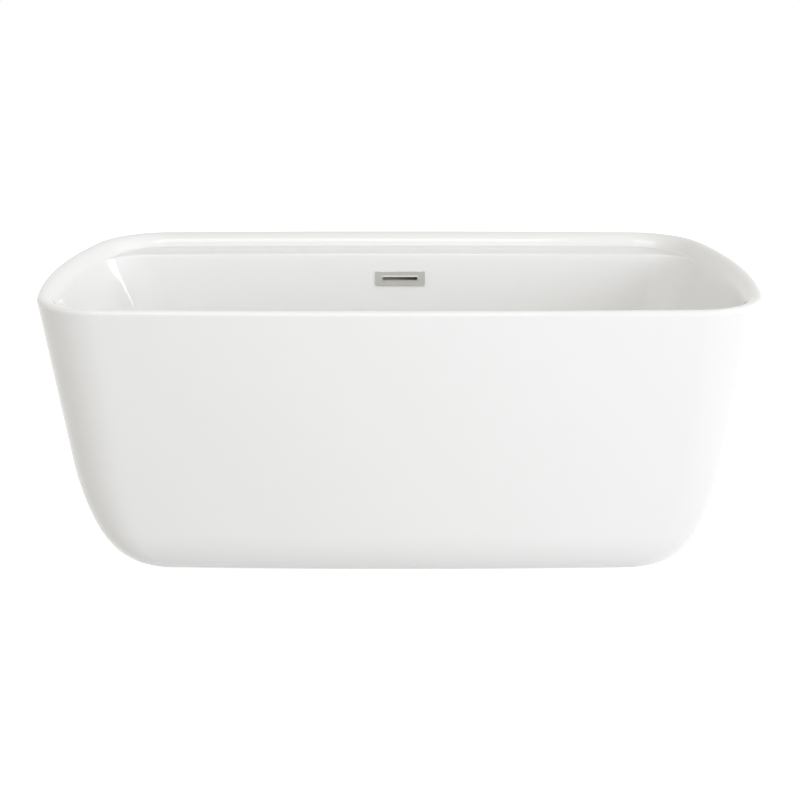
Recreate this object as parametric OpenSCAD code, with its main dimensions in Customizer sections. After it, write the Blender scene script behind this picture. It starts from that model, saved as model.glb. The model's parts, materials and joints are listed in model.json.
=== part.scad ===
// Freestanding acrylic bathtub: a one-piece basin with a ledge along its back, a bonded outer
// skirt, a steel frame on six levelling feet, a slotted overflow and a click-clack waste.
// Millimetres, +Z up. The origin is on the floor under the middle of the tub; +X is the
// right-hand end and +Y is the ledge side.

/* [Overall] */
// Length over the rim
tub_l = 1500; // [1400:10:1700]
// Width over the rim
tub_w = 750; // [720:10:820]
// Height of the rim above the floor
tub_h = 580; // [560:5:620]

/* [Plan shape] */
// Corner radius of the outside at the rim
rim_corner_r = 160; // [130:5:190]
// Corner radius of the outside at the floor
base_corner_r = 110; // [90:5:140]
// Half the angle that each bowed end turns through, in degrees
end_bow = 13; // [10:0.5:16]
// Half the angle that each long side turns through, in degrees
side_bow = 1.8; // [1:0.2:3]

/* [Skirt] */
// Thickness of the skirt
skirt_t = 5; // [4:0.5:7]
// Gap between the skirt and the floor
skirt_gap = 3; // [2:0.5:8]
// Width of the flange that turns in under the skirt
return_w = 24; // [16:1:30]
// How far the straight part of each end leans in over the full height
end_setback = 66; // [40:2:90]
// How far the straight part of each long side leans in over the full height
side_setback = 24; // [14:2:36]
// How far each end curls in at the bottom
end_tuck = 90; // [60:5:110]
// Height at which the curl of the ends starts
end_tuck_h = 240; // [180:10:300]
// How far each long side curls in at the bottom
side_tuck = 45; // [30:1:55]
// Height at which the curl of the long sides starts
side_tuck_h = 100; // [70:5:140]

/* [Rim and ledge] */
// Thickness of the basin
basin_t = 5; // [4:0.5:7]
// Radius of the rim's outer edge
rim_edge_r = 9; // [8:0.5:12]
// Height of the lip that turns down outside
lip_h = 22; // [18:1:30]
// Hairline between the lip and the skirt
seam = 0.4; // [0.2:0.1:1]
// How far the rim rolls in and down before the walls start
roll_drop = 30; // [24:1:36]
// Width of the roll along the long sides
side_roll_w = 40; // [34:1:50]
// Width of the roll at the ends
end_roll_w = 43; // [38:1:55]
// Width of the ledge along the back
ledge_w = 84; // [60:2:100]
// Radius of the ledge's edge
ledge_edge_r = 6; // [4:0.5:9]
// Angle at which the well's corner leaves the curve of the end, in degrees
ledge_tip = 9; // [7:0.5:10]
// Overlap of the laminate strip that backs the seam, above and below it
bond_lap = 13; // [8:1:16]
// Thickness of that strip
bond_t = 3; // [2:0.5:5]

/* [Well] */
// Depth of the well below the rim
well_depth = 430; // [410:5:440]
// Lean of the end walls from the vertical, in degrees
end_lean = 21; // [16:1:24]
// Lean of the long walls from the vertical, in degrees
side_lean = 7; // [4:1:9]
// Height of the curve between the walls and the floor
cove_h = 120; // [90:5:150]
// How far that curve reaches in from the end walls
end_cove = 120; // [80:5:140]
// How far that curve reaches in from the long walls
side_cove = 78; // [60:2:90]
// Corner radius of the well at the foot of the roll
well_corner_r = 120; // [100:5:140]
// Corner radius of the flat floor
floor_corner_r = 60; // [45:5:70]

/* [Frame] */
// Outer size of the square steel tube
rail_s = 30; // [25:1:35]
// Wall of the square steel tube
rail_wall = 2; // [1.5:0.5:3]
// Thickness of the board under the floor
board_t = 15; // [12:1:18]
// Distance of the board's long edges from the edges of the flat floor
board_edge = 6; // [2:1:20]
// How far the middle of each cross rail lies past the end of the flat floor
cross_past = 6.5; // [0:0.5:10]
// Distance of each middle rail from the middle
mid_x = 160; // [110:5:220]
// Board screws along each long rail
screws_per_rail = 4; // [2:1:6]
// Thickness of the skirt brackets
bracket_t = 3; // [2:0.5:4]

/* [Feet] */
// Radius of the M12 studs
stud_r = 6; // [5:0.5:7]
// Radius of the pads
pad_r = 24; // [18:1:27]
// Height of the pads
pad_h = 13; // [11:1:18]
// Height that a foot can take in
foot_up = 6; // [2:1:8]
// Height that a foot can let out
foot_down = 20; // [10:1:24]

/* [Waste] */
// Place of the waste along the tub
waste_x = 0; // [-30:5:30]
// Radius of the hole in the floor
waste_hole_r = 24; // [23:0.5:27]
// Outer radius of the waste's barrel
barrel_r = 22; // [20:0.5:22.5]
// Bore radius of the barrel
barrel_bore_r = 19; // [17:0.5:19.5]
// Radius of the waste's flange
flange_r = 35; // [32:1:40]
// Thickness of the flange
flange_t = 2.6; // [2:0.2:4]
// Radius of the stopper's cap
cap_r = 31; // [29:0.5:31.5]
// Travel of the stopper
stopper_travel = 9; // [5:0.5:9]
// Outer radius of the tailpiece
tail_r = 19.05; // [18.9:0.05:20]
// Bore radius of the tailpiece
tail_bore_r = 17.8; // [16:0.1:18.2]
// Clearance of the tailpiece above the floor
tail_gap = 10; // [6:1:16]

/* [Overflow] */
// Width of the overflow's plate
plate_w = 119; // [112:1:140]
// Height of the overflow's plate
plate_h = 35; // [33:1:44]
// Depth of the overflow's plate, which is a shallow cover
plate_t = 5.5; // [5:0.5:7]
// Wall of that cover
cover_wall = 1.2; // [1:0.1:1.6]
// Length of the slot
slot_l = 83; // [60:1:86]
// Height of the slot
slot_h = 7; // [5:0.5:9]
// Depth of the slot's middle below the rim
overflow_drop = 89; // [84:1:110]
// Outer radius of the overflow hose
hose_r = 16; // [13:0.5:18]
// Wall of the overflow hose
hose_wall = 2; // [1.5:0.5:3]
// Radius of the hose's bend
hose_bend_r = 110; // [90:5:120]

/* [Hidden] */

$fn = 64;
white = "#f4f3f1";
steel = "#a9adb0";
nickel = "#b9b8b3";
rubber = "#242424";

// Clearances
snug = 0.2;    // between pieces that touch or screw together
slide = 0.3;   // around what moves
bore_slack = 0.5; // of a hole round its bolt
cut = 1;       // how far a cutting solid reaches past the face that it cuts

// ---------- Plan outlines ----------
// A quarter of an outline is three arcs that meet tangentially: the bowed end, the corner and
// the bowed side. It is measured by the angle of its outward normal, from 0 at the middle of
// the end to 90 at the middle of the side.
side_n = 90 - side_bow;
corner_steps = 11;

// Radius of the end arc, and of the side arc, of a quarter with half-length a, half-width b
// and corner radius r
function end_arc(a, b, r, bow) =
  let (p = a - r * (cos(bow) - cos(side_n)), q = b - r * (sin(side_n) - sin(bow)))
  (cos(side_n) * q - (1 - sin(side_n)) * p) / arc_det(bow);
function side_arc(a, b, r, bow) =
  let (p = a - r * (cos(bow) - cos(side_n)), q = b - r * (sin(side_n) - sin(bow)))
  (p * sin(bow) - (1 - cos(bow)) * q) / arc_det(bow);
function arc_det(bow) = cos(side_n) * sin(bow) - (1 - cos(bow)) * (1 - sin(side_n));

// Corner radius of a quarter whose end arc is given
function corner_from_end(a, b, re, bow) =
  let (p = a - re * (1 - cos(bow)), q = b - re * sin(bow))
  (p * (1 - sin(side_n)) - q * cos(side_n))
  / ((cos(bow) - cos(side_n)) * (1 - sin(side_n)) - (sin(side_n) - sin(bow)) * cos(side_n));

// Point of a quarter at normal angle n
function quarter_point(a, re, r, rs, bow, n) =
  let (x1 = a - re * (1 - cos(min(n, bow))), y1 = re * sin(min(n, bow)),
    c = max(bow, min(n, side_n)), s = max(side_n, n))
  [x1 - r * (cos(bow) - cos(c)) - rs * (cos(side_n) - cos(s)),
    y1 + r * (sin(c) - sin(bow)) + rs * (sin(s) - sin(side_n))];

// Normal angles of a quarter. Every quarter has the same number, and those on the end arc up to
// the ledge's tip are the same whether the corner starts there or later.
function quarter_angles(bow) =
  concat([0, ledge_tip / 2, ledge_tip],
    bow > ledge_tip ? [bow] : [],
    let (steps = bow > ledge_tip ? corner_steps - 1 : corner_steps)
    [for (i = [1 : steps]) bow + (side_n - bow) * i / steps],
    [90 - side_bow / 2, 90]);
quarter_count = len(quarter_angles(end_bow));
ring_count = 4 * (quarter_count - 1);

// One ring: [z, half-length, front half-width, front corner radius, back half-width,
// back corner radius or undef where it keeps the front's end arc, back bow]
function ring_points(g) =
  let (z = g[0], a = g[1], bf = g[2], rf = g[3], bb = g[4], bow = g[6],
    ref = end_arc(a, bf, rf, end_bow), rsf = side_arc(a, bf, rf, end_bow),
    rb = is_undef(g[5]) ? corner_from_end(a, bb, ref, bow) : g[5],
    reb = is_undef(g[5]) ? ref : end_arc(a, bb, rb, bow), rsb = side_arc(a, bb, rb, bow),
    back = [for (n = quarter_angles(bow)) quarter_point(a, reb, rb, rsb, bow, n)],
    front = [for (n = quarter_angles(end_bow)) quarter_point(a, ref, rf, rsf, end_bow, n)],
    m = quarter_count - 1)
  concat(
    [for (i = [0 : m - 1]) [back[i].x, back[i].y, z]],
    [for (i = [0 : m - 1]) [-back[m - i].x, back[m - i].y, z]],
    [for (i = [0 : m - 1]) [-front[i].x, -front[i].y, z]],
    [for (i = [0 : m - 1]) [front[m - i].x, -front[m - i].y, z]]);
function even_ring(z, a, b, r) = [z, a, b, r, b, r, end_bow];

// Closed solid through rings of equal length, first to last, capped or joined into a loop.
// Where two rings share a point, the triangles between them there are left out.
module loft(rings, looped = false) {
  pts = [for (g = rings) ring_points(g)];
  n = ring_count;
  rows = len(rings);
  strips = looped ? rows : rows - 1;
  faces = [for (i = [0 : strips - 1], j = [0 : n - 1])
    let (k = (j + 1) % n, u = (i + 1) % rows,
      same_j = norm(pts[i][j] - pts[u][j]) < 1e-6, same_k = norm(pts[i][k] - pts[u][k]) < 1e-6)
    each concat(same_j ? [] : [[i * n + j, u * n + j, u * n + k]],
      same_k ? [] : [[i * n + j, u * n + k, i * n + k]])];
  caps = looped ? []
    : [[for (j = [0 : n - 1]) j], [for (j = [n - 1 : -1 : 0]) (rows - 1) * n + j]];
  polyhedron([for (p = pts) each p], concat(faces, caps));
}

// ---------- Outside ----------
function curl(reach, top, z) =
  z >= top ? 0 : reach * (1 - sqrt(1 - pow((top - z) / (top - skirt_gap), 2)));
rim_z = tub_h - rim_edge_r; // where the tub is longest and widest
function end_inset(z) = end_setback * (rim_z - z) / rim_z + curl(end_tuck, end_tuck_h, z);
function side_inset(z) = side_setback * (rim_z - z) / rim_z + curl(side_tuck, side_tuck_h, z);
function outer_r(z) = base_corner_r + (rim_corner_r - base_corner_r) * z / tub_h;
// The outside at height z, moved in by t
function outside(z, t = 0) =
  even_ring(z, tub_l / 2 - end_inset(z) - t, tub_w / 2 - side_inset(z) - t, outer_r(z) - t);
function outside_at(z, level, t) =
  let (g = outside(z, t)) even_ring(level, g[1], g[2], g[3]);

// ---------- Basin ----------
lip_z = tub_h - lip_h;
well_z = tub_h - well_depth;
ledge_z = tub_h - roll_drop;
end_m = tan(end_lean);
side_m = tan(side_lean);

// Inset of a roll that is w wide and d deep and ends at slope m, at depth s below the crest
function roll_inset(s, w, m) =
  let (u = m * roll_drop / (w - rim_edge_r), q = u / (1 - u), v = roll_drop / (1 - q),
    e = (w - rim_edge_r) / sqrt(1 - q * q))
  rim_edge_r + e * sqrt(1 - pow(1 - s / v, 2));
function cove(reach, z) =
  z >= well_z + cove_h ? 0 : reach * (1 - sqrt(max(0, 1 - pow((well_z + cove_h - z) / cove_h, 2))));
function well_a(z) = tub_l / 2 - end_roll_w - end_m * (ledge_z - z) - cove(end_cove, z);
function well_front(z) = tub_w / 2 - side_roll_w - side_m * (ledge_z - z) - cove(side_cove, z);
function well_back(z) = well_front(z) - ledge_w;
function well_r(z, top_r) = floor_corner_r
  + (top_r - floor_corner_r) * (well_front(z) - well_front(well_z))
  / (well_front(ledge_z) - well_front(well_z));
ledge_corner_r = corner_from_end(well_a(ledge_z), well_back(ledge_z),
  end_arc(well_a(ledge_z), well_front(ledge_z), well_corner_r, end_bow), ledge_tip);

// Steps down the basin's face. Each is a ring with the face's outward normal [out, up].
edge_angles = [0, 30, 60, 90];
roll_steps = [0.06, 0.15, 0.28, 0.44, 0.62, 0.8];
wall_steps = [0.3, 0.65, 1];
cove_angles = [14, 28, 41, 53, 64, 74, 83, 90];
edge_mid = 1 - sqrt(0.5); // of the ledge's edge radius, at the middle of its rounding

function edge_ring(ang) =
  let (z = rim_z + rim_edge_r * sin(ang), t = rim_edge_r * (1 - cos(ang)))
  [outside_at(rim_z, z, t), [cos(ang), sin(ang)]];
function roll_ring(s) =
  let (d = s * roll_drop, k = well_corner_r + side_roll_w)
  [even_ring(tub_h - d, tub_l / 2 - roll_inset(d, end_roll_w, end_m),
      tub_w / 2 - roll_inset(d, side_roll_w, side_m), k - roll_inset(d, side_roll_w, side_m)),
    [-sin(90 * sqrt(s)), cos(90 * sqrt(s))]];
function foot_of_roll() = even_ring(ledge_z, well_a(ledge_z), well_front(ledge_z), well_corner_r);
// A ring of the well whose back is moved out by back_out
function well_ring(z, back_out = 0, keep_end = false) =
  [z, well_a(z), well_front(z), well_r(z, well_corner_r), well_back(z) + back_out,
    keep_end ? undef : well_r(z, ledge_corner_r), ledge_tip];

face_rings = concat(
  [for (ang = edge_angles) edge_ring(ang)],
  [for (s = roll_steps) roll_ring(s)],
  [[foot_of_roll(), [-1, 1]]],
  [[well_ring(ledge_z, ledge_edge_r, true), [-1, 1]]],
  [[well_ring(ledge_z - edge_mid * ledge_edge_r, edge_mid * ledge_edge_r), [-1, 0.7]]],
  [[well_ring(ledge_z - ledge_edge_r), [-1, 0]]],
  [for (s = wall_steps)
    [well_ring(ledge_z - ledge_edge_r - s * (ledge_z - ledge_edge_r - well_z - cove_h)), [-1, 0]]],
  [for (ang = cove_angles)
    [well_ring(well_z + cove_h * (1 - sin(ang))), [-cos(ang), sin(ang)]]]);

// The ring on the hidden side of a face ring, one wall thickness in
function behind(f) =
  let (g = f[0], h = f[1].x, v = f[1].y, t = basin_t)
  [g[0] - t * v, g[1] - t * h, g[2] - t * h, g[3] - t * h, g[4] - t * h,
    is_undef(g[5]) ? undef : g[5] - t * h, g[6]];

// The hidden side from the floor up, over the rim, and down the face to the floor again
module basin() {
  color(white)
    difference() {
      loft(concat(
        [for (i = [len(face_rings) - 1 : -1 : 0]) behind(face_rings[i])],
        [outside(lip_z, basin_t), outside(lip_z)],
        [for (f = face_rings) f[0]]));
      translate([waste_x, waste_y, well_z - 2 * basin_t])
        cylinder(r = waste_hole_r, h = 4 * basin_t);
      at_overflow()
        rounded_plate(throat_w + 2 * bore_slack, throat_h + 2 * bore_slack, -3 * basin_t,
          6 * basin_t, throat_corner_r);
    }
}

// ---------- Skirt ----------
skirt_top = lip_z - seam;
skirt_curl_steps = [0, 5, 10, 15.5, 22, 29.5, 38, 48, 60, 74, 90];
function skirt_level(ang) = skirt_gap + (end_tuck_h - skirt_gap) * (1 - cos(ang));
skirt_levels = concat([for (ang = skirt_curl_steps) skirt_level(ang)],
  [(end_tuck_h + skirt_top) / 2, skirt_top]);

module skirt() {
  flange = outside(skirt_gap, return_w);
  inner = concat([skirt_gap + skirt_t],
    [for (z = skirt_levels) if (z > skirt_gap + 1.3 * skirt_t) z]);
  color(white)
    difference() {
      loft(concat(
        [for (z = skirt_levels) outside(z)],
        [for (i = [len(inner) - 1 : -1 : 0]) outside(inner[i], skirt_t)],
        [even_ring(skirt_gap + skirt_t, flange[1], flange[2], flange[3]), flange]),
        looped = true);
      for (x = [-cross_x, cross_x], y = [-1, 1])
        translate([x, y * flange_screw_y, 0])
          cylinder(r = small_screw_r + bore_slack, h = skirt_gap + 2 * skirt_t);
    }
}

// Laminate strip behind the seam between the basin's lip and the skirt
module rim_bond() {
  t = max(basin_t, skirt_t) + snug;
  zs = [lip_z - bond_lap, skirt_top, lip_z, lip_z + min(bond_lap, lip_h - rim_edge_r - bond_t)];
  color("#d9d2b4")
    loft(concat([for (z = zs) outside(z, t)],
      [for (i = [len(zs) - 1 : -1 : 0]) outside(zs[i], t + bond_t)]), looped = true);
}

// ---------- Frame ----------
// Half-width of a ring's long side at x
function side_y(g, x) =
  let (r = side_arc(g[1], g[2], g[3], end_bow)) g[2] - r + sqrt(r * r - x * x);

waste_y = (well_back(well_z) - well_front(well_z)) / 2;
floor_under = well_z - basin_t;
board_top = floor_under - snug;
rail_top = board_top - board_t - snug;
rail_low = rail_top - rail_s;
board_front = well_front(well_z) - board_edge;
board_back = well_back(well_z) - board_edge;
cross_x = well_a(well_z) + cross_past; // of the cross rails, the brackets and the outer feet
rail_inset = 30; // of a long rail's middle from the board's edge
front_rail_y = rail_inset - board_front;
back_rail_y = board_back - rail_inset;
board_hole_r = flange_r + 20;
board_bite = 0.6 * board_t; // of a screw into the board

// The cross rails end just inside the skirt's flange, each behind a bracket
flange_in_y = side_y(outside(skirt_gap, return_w), cross_x);
bracket_y = flange_in_y - 2 * bracket_t;
cross_end = bracket_y - snug;
bracket_gap = 4; // of a pad from the line of the brackets
foot_y = bracket_y - pad_r - bracket_gap;
flange_screw_y = flange_in_y + 0.45 * return_w;

small_screw_r = 2;
board_screw_r = 2.5;
bolt_r = 3;
nut_r = 1.8 * stud_r;
nut_h = 1.6 * stud_r;
jam_h = stud_r;

module base_board() {
  g = [0, well_a(well_z) - board_edge, board_front, floor_corner_r - board_edge,
    board_back, floor_corner_r - board_edge, end_bow];
  color("#c9a877")
    difference() {
      translate([0, 0, board_top - board_t])
        linear_extrude(board_t)
          polygon([for (p = ring_points(g)) [p.x, p.y]]);
      translate([waste_x, waste_y, board_top - 2 * board_t])
        cylinder(r = board_hole_r, h = 3 * board_t);
      at_board_screws()
        translate([0, 0, rail_top])
          cylinder(r = board_screw_r + snug / 2, h = board_bite + 2 * snug);
    }
}

// Square tube of length l along X, its middle at the origin
module tube_x(l) {
  difference() {
    cube([l, rail_s, rail_s], center = true);
    cube([l + 2, rail_s - 2 * rail_wall, rail_s - 2 * rail_wall], center = true);
  }
}

module at_board_screws() {
  span = 2 * (cross_x - rail_s);
  for (y = [front_rail_y, back_rail_y], i = [1 : screws_per_rail])
    translate([span * ((i - 0.5) / screws_per_rail - 0.5), y, 0])
      children();
}

// Long rail between the cross rails, drilled for the board screws
module long_rail(y) {
  color(steel)
    difference() {
      translate([0, y, rail_low + rail_s / 2])
        tube_x(2 * cross_x - rail_s - 2 * snug);
      at_board_screws()
        translate([0, 0, rail_low - 1])
          cylinder(r = board_screw_r + bore_slack, h = rail_s + 2);
    }
}

// Rail across the tub between y0 and y1, with stud holes in its lower wall and closed ends
module rail_y(x, y0, y1, holes, end_bolts = false) {
  color(steel)
    difference() {
      translate([x - rail_s / 2, y0, rail_low])
        cube([rail_s, y1 - y0, rail_s]);
      translate([x - rail_s / 2 + rail_wall, y0 + rail_wall, rail_low + rail_wall])
        cube([rail_s - 2 * rail_wall, y1 - y0 - 2 * rail_wall, rail_s - 2 * rail_wall]);
      for (y = holes)
        translate([x, y, rail_low - 1])
          cylinder(r = stud_r + bore_slack, h = rail_wall + 2);
      if (end_bolts)
        for (y = [y0, y1])
          translate([x, y, rail_low + rail_s / 2])
            rotate([90, 0, 0])
              cylinder(r = bolt_r + snug / 2, h = 3 * rail_wall, center = true);
    }
}
module cross_rail(x) {
  rail_y(x, -cross_end, cross_end, [-foot_y, foot_y], true);
}
module mid_rail(x) {
  gap = rail_s / 2 + snug;
  rail_y(x, front_rail_y + gap, back_rail_y - gap, [waste_y]);
}

// Screws up through the long rails into the board
module board_screws() {
  head_h = 3;
  color("#c8b56a")
    at_board_screws() {
      translate([0, 0, rail_low - snug - head_h])
        cylinder(r = 2 * board_screw_r, h = head_h);
      translate([0, 0, rail_low - snug - head_h / 2])
        cylinder(r = board_screw_r, h = head_h / 2 + rail_s + snug + board_bite);
    }
}

// Angle brackets from the ends of the cross rails down onto the skirt's flange
flange_top = skirt_gap + skirt_t;
bracket_low = flange_top + snug;
module at_brackets() {
  for (x = [-cross_x, cross_x], side = [0, 1])
    mirror([0, side, 0])
      translate([x, 0, 0])
        children();
}
module skirt_brackets() {
  reach = flange_screw_y + 3 * small_screw_r - bracket_y;
  color(steel)
    at_brackets()
      difference() {
        union() {
          translate([-rail_s / 2, bracket_y, bracket_low])
            cube([rail_s, bracket_t, rail_top - bracket_low]);
          translate([-rail_s / 2, bracket_y, bracket_low])
            cube([rail_s, reach, bracket_t]);
        }
        translate([0, bracket_y + bracket_t / 2, rail_low + rail_s / 2])
          rotate([90, 0, 0])
            cylinder(r = bolt_r + bore_slack, h = 2 * bracket_t, center = true);
        translate([0, flange_screw_y, bracket_low - 1])
          cylinder(r = small_screw_r + snug / 2, h = bracket_t + 2);
      }
}

// Bolts through the brackets into the end plates of the cross rails
module bracket_bolts() {
  head_h = 4;
  color("#c9cbcc")
    at_brackets()
      translate([0, bracket_y + bracket_t + snug, rail_low + rail_s / 2])
        rotate([90, 0, 0]) {
          translate([0, 0, -head_h])
            cylinder(r = 1.9 * bolt_r, h = head_h, $fn = 6);
          translate([0, 0, -head_h / 2])
            cylinder(r = bolt_r, h = head_h / 2 + 5 * bolt_r);
        }
}

// Screws up through the skirt's flange into the brackets, their heads clear of the floor
module flange_screws() {
  head_h = 0.6 * skirt_gap;
  color("#c9cbcc")
    at_brackets()
      translate([0, flange_screw_y, skirt_gap - head_h]) {
        cylinder(r = 2 * small_screw_r, h = head_h - snug / 2);
        cylinder(r = small_screw_r, h = head_h + skirt_t + snug + 1.5 * bracket_t);
      }
}

// ---------- Feet ----------
thread_play = 0.1;
feet = [[-cross_x, -foot_y], [cross_x, -foot_y], [-cross_x, foot_y], [cross_x, foot_y],
  [-mid_x, waste_y], [mid_x, waste_y]];
weld_nut_z = rail_low - snug - nut_h;
jam_nut_z = weld_nut_z - snug - jam_h;
hexagon_r = nut_r - 2;
socket_r = hexagon_r - 1;
socket_z = 0.5 * pad_h; // floor of the pad's socket
pad_wall = 3;
pad_chamfer = 1;

module nuts(z, h) {
  for (f = feet)
    translate([f.x, f.y, z])
      difference() {
        cylinder(r = nut_r, h = h, $fn = 6);
        translate([0, 0, -cut])
          cylinder(r = stud_r + thread_play, h = h + 2 * cut);
      }
}
module weld_nuts() {
  color(steel)
    nuts(weld_nut_z, nut_h);
}
module jam_nuts() {
  color("#c9cbcc")
    nuts(jam_nut_z, jam_h);
}

// Threaded stud, with a hexagon to turn it by and a round foot that sits in the pad's socket.
// It is long enough to stay in the weld nut when it is let out, as far as the rail has room
// for it when it is taken in.
thread_spare = 2; // of the stud above the weld nut when the foot is let out
stud_top = min(rail_top - rail_wall - foot_up - slide,
  weld_nut_z + nut_h + foot_down + thread_spare);
module foot_stud(i) {
  color("#c9cbcc")
    translate([feet[i - 1].x, feet[i - 1].y, 0]) {
      translate([0, 0, socket_z + snug])
        cylinder(r = socket_r, h = pad_h - socket_z);
      translate([0, 0, pad_h])
        cylinder(r = hexagon_r, h = jam_h, $fn = 6);
      translate([0, 0, pad_h])
        cylinder(r = stud_r, h = stud_top - pad_h);
    }
}

// Moulded pad with a socket for the stud
module foot_pad(i) {
  rim_r = socket_r + snug;
  color(rubber)
    translate([feet[i - 1].x, feet[i - 1].y, 0])
      rotate_extrude()
        polygon([[0, 0], [pad_r - pad_chamfer, 0], [pad_r, pad_chamfer],
          [pad_r, socket_z - pad_chamfer], [rim_r + pad_wall, pad_h - snug],
          [rim_r, pad_h - snug], [rim_r, socket_z], [0, socket_z]]);
}

// ---------- Waste ----------
seal_t = 1.5;
flange_z = well_z + seal_t + 2 * snug;
washer_t = 3;
washer_w = 11;
locknut_t = 10;
washer_z = floor_under - snug - washer_t;
locknut_z = washer_z - snug - locknut_t;
shoe_top = locknut_z - snug;
barrel_in_shoe = 30;
barrel_low = shoe_top - barrel_in_shoe;
shoe_wall = 4;
shoe_r = barrel_r + snug + shoe_wall;
hose_z = rail_low - hose_r - 3; // the hose's middle where it runs under the rail
outlet_l = 12; // threaded length of the shoe's outlet
shoe_low = hose_z - hose_r - outlet_l;
outlet_r = tail_r + 5;
tail_flange_t = 2;
slip_nut_wall = 6;
tail_washer_z = shoe_low - snug - tail_flange_t;
tail_top = tail_washer_z - snug;
slip_nut_low = tail_top - tail_flange_t - slip_nut_wall;
slip_nut_top = shoe_low + outlet_l - 1;

module at_waste() {
  translate([waste_x, waste_y, 0])
    children();
}
module ring(r_in, r_out, z, h) {
  translate([0, 0, z])
    difference() {
      cylinder(r = r_out, h = h);
      translate([0, 0, -1])
        cylinder(r = r_in, h = h + 2);
    }
}

// Flange and barrel in one piece, with a cross low in the barrel that holds the cartridge
cross_z = barrel_low + 8;
cross_h = 5;
hub_r = 8;
cross_t = 3;
stem_r = 3;
neck_r = stem_r + 2; // of the cartridge, where it screws into the hub
module drain_flange() {
  color(nickel)
    at_waste() {
      difference() {
        union() {
          translate([0, 0, flange_z])
            cylinder(r1 = flange_r, r2 = flange_r - 1, h = flange_t);
          translate([0, 0, barrel_low])
            cylinder(r = barrel_r, h = flange_z - barrel_low + flange_t / 2);
        }
        translate([0, 0, barrel_low - 1])
          cylinder(r = barrel_bore_r, h = flange_z - barrel_low + flange_t + 2);
      }
      difference() {
        union() {
          translate([0, 0, cross_z])
            cylinder(r = hub_r, h = cross_h);
          for (a = [45, 135])
            rotate([0, 0, a])
              translate([-barrel_bore_r - cut, -cross_t / 2, cross_z])
                cube([2 * (barrel_bore_r + cut), cross_t, cross_h]);
        }
        translate([0, 0, cross_z - 1])
          cylinder(r = neck_r + snug, h = cross_h + 2);
      }
    }
}
module drain_seal() {
  color(rubber)
    at_waste()
      ring(waste_hole_r, flange_r - 1.5, well_z + snug, seal_t);
}
module drain_washer() {
  color(rubber)
    at_waste()
      ring(barrel_r + snug, barrel_r + washer_w, washer_z, washer_t);
}
module drain_locknut() {
  color("#e8e6df")
    at_waste()
      difference() {
        translate([0, 0, locknut_z])
          cylinder(r = barrel_r + washer_w + 1, h = locknut_t, $fn = 6);
        translate([0, 0, locknut_z - 1])
          cylinder(r = barrel_r + snug, h = locknut_t + 2);
      }
}

// Tee under the floor: the barrel comes in above, the overflow at the back, and the outlet
// is threaded for the slip nut
branch_r = hose_r - hose_wall - snug;
branch_y = waste_y + shoe_r;
spigot_l = 34;
module drain_shoe() {
  color("#e8e6df")
    difference() {
      union() {
        at_waste() {
          translate([0, 0, hose_z - hose_r])
            cylinder(r = shoe_r, h = shoe_top - hose_z + hose_r);
          translate([0, 0, shoe_low])
            cylinder(r = outlet_r, h = shoe_top - shoe_low);
        }
        translate([waste_x, waste_y, hose_z])
          rotate([-90, 0, 0])
            cylinder(r = branch_r, h = shoe_r + spigot_l);
      }
      at_waste() {
        translate([0, 0, barrel_low - snug])
          cylinder(r = barrel_r + snug, h = shoe_top - barrel_low + 1);
        translate([0, 0, shoe_low - 1])
          cylinder(r = barrel_bore_r, h = shoe_top - shoe_low);
      }
      translate([waste_x, waste_y, hose_z])
        rotate([-90, 0, 0])
          cylinder(r = branch_r - hose_wall, h = shoe_r + spigot_l + 1);
    }
}
// Tube with a flange at its top and a relieved neck where the slip nut turns. It stops short
// of the floor, but a trap needs at least a radius of it below the nut, so on a tub whose well
// is too low for that it reaches into a recess of the floor.
tail_low = min(tail_gap, slip_nut_low - tail_r);
module tailpiece() {
  neck_z = slip_nut_low - cut;
  color(nickel)
    at_waste() {
      ring(tail_bore_r, tail_r, tail_low, neck_z - tail_low);
      ring(tail_bore_r, tail_r - snug, neck_z, tail_top - neck_z);
      ring(tail_bore_r, outlet_r - 1, tail_top - tail_flange_t, tail_flange_t);
    }
}
module tailpiece_washer() {
  color(rubber)
    at_waste()
      ring(tail_bore_r, outlet_r - 1, tail_washer_z, tail_flange_t);
}
module slip_nut() {
  inner_r = outlet_r + snug;
  shelf_z = tail_top - tail_flange_t - snug;
  color("#e8e6df")
    at_waste()
      difference() {
        translate([0, 0, slip_nut_low])
          cylinder(r = inner_r + slip_nut_wall, h = slip_nut_top - slip_nut_low, $fn = 8);
        translate([0, 0, shelf_z])
          cylinder(r = inner_r, h = slip_nut_top - shelf_z + cut);
        translate([0, 0, slip_nut_low - cut])
          cylinder(r = tail_r + snug, h = shelf_z - slip_nut_low + 2 * cut);
      }
}

// Click-clack stopper: the cap and its stem ride in a cartridge that stands on the cross
seat_t = 2;
cap_z = flange_z + flange_t + seat_t;
cap_t = 4;
cartridge_r = 7.5;
cartridge_bore_r = 5.5;
cartridge_z = cross_z + cross_h + snug;
cartridge_top = flange_z - stopper_travel;
piston_r = cartridge_bore_r - slide;
piston_h = 4;
piston_z = cartridge_top - stopper_travel - piston_h - cut;
wire_r = 0.6;

module stopper_cartridge() {
  color(nickel)
    at_waste() {
      difference() {
        translate([0, 0, cartridge_z])
          cylinder(r = cartridge_r, h = cartridge_top - cartridge_z);
        translate([0, 0, cartridge_z + 2])
          cylinder(r = cartridge_bore_r, h = cartridge_top - cartridge_z);
      }
      translate([0, 0, cross_z - 1])
        cylinder(r = neck_r, h = cartridge_z - cross_z + 2);
    }
}

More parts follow.
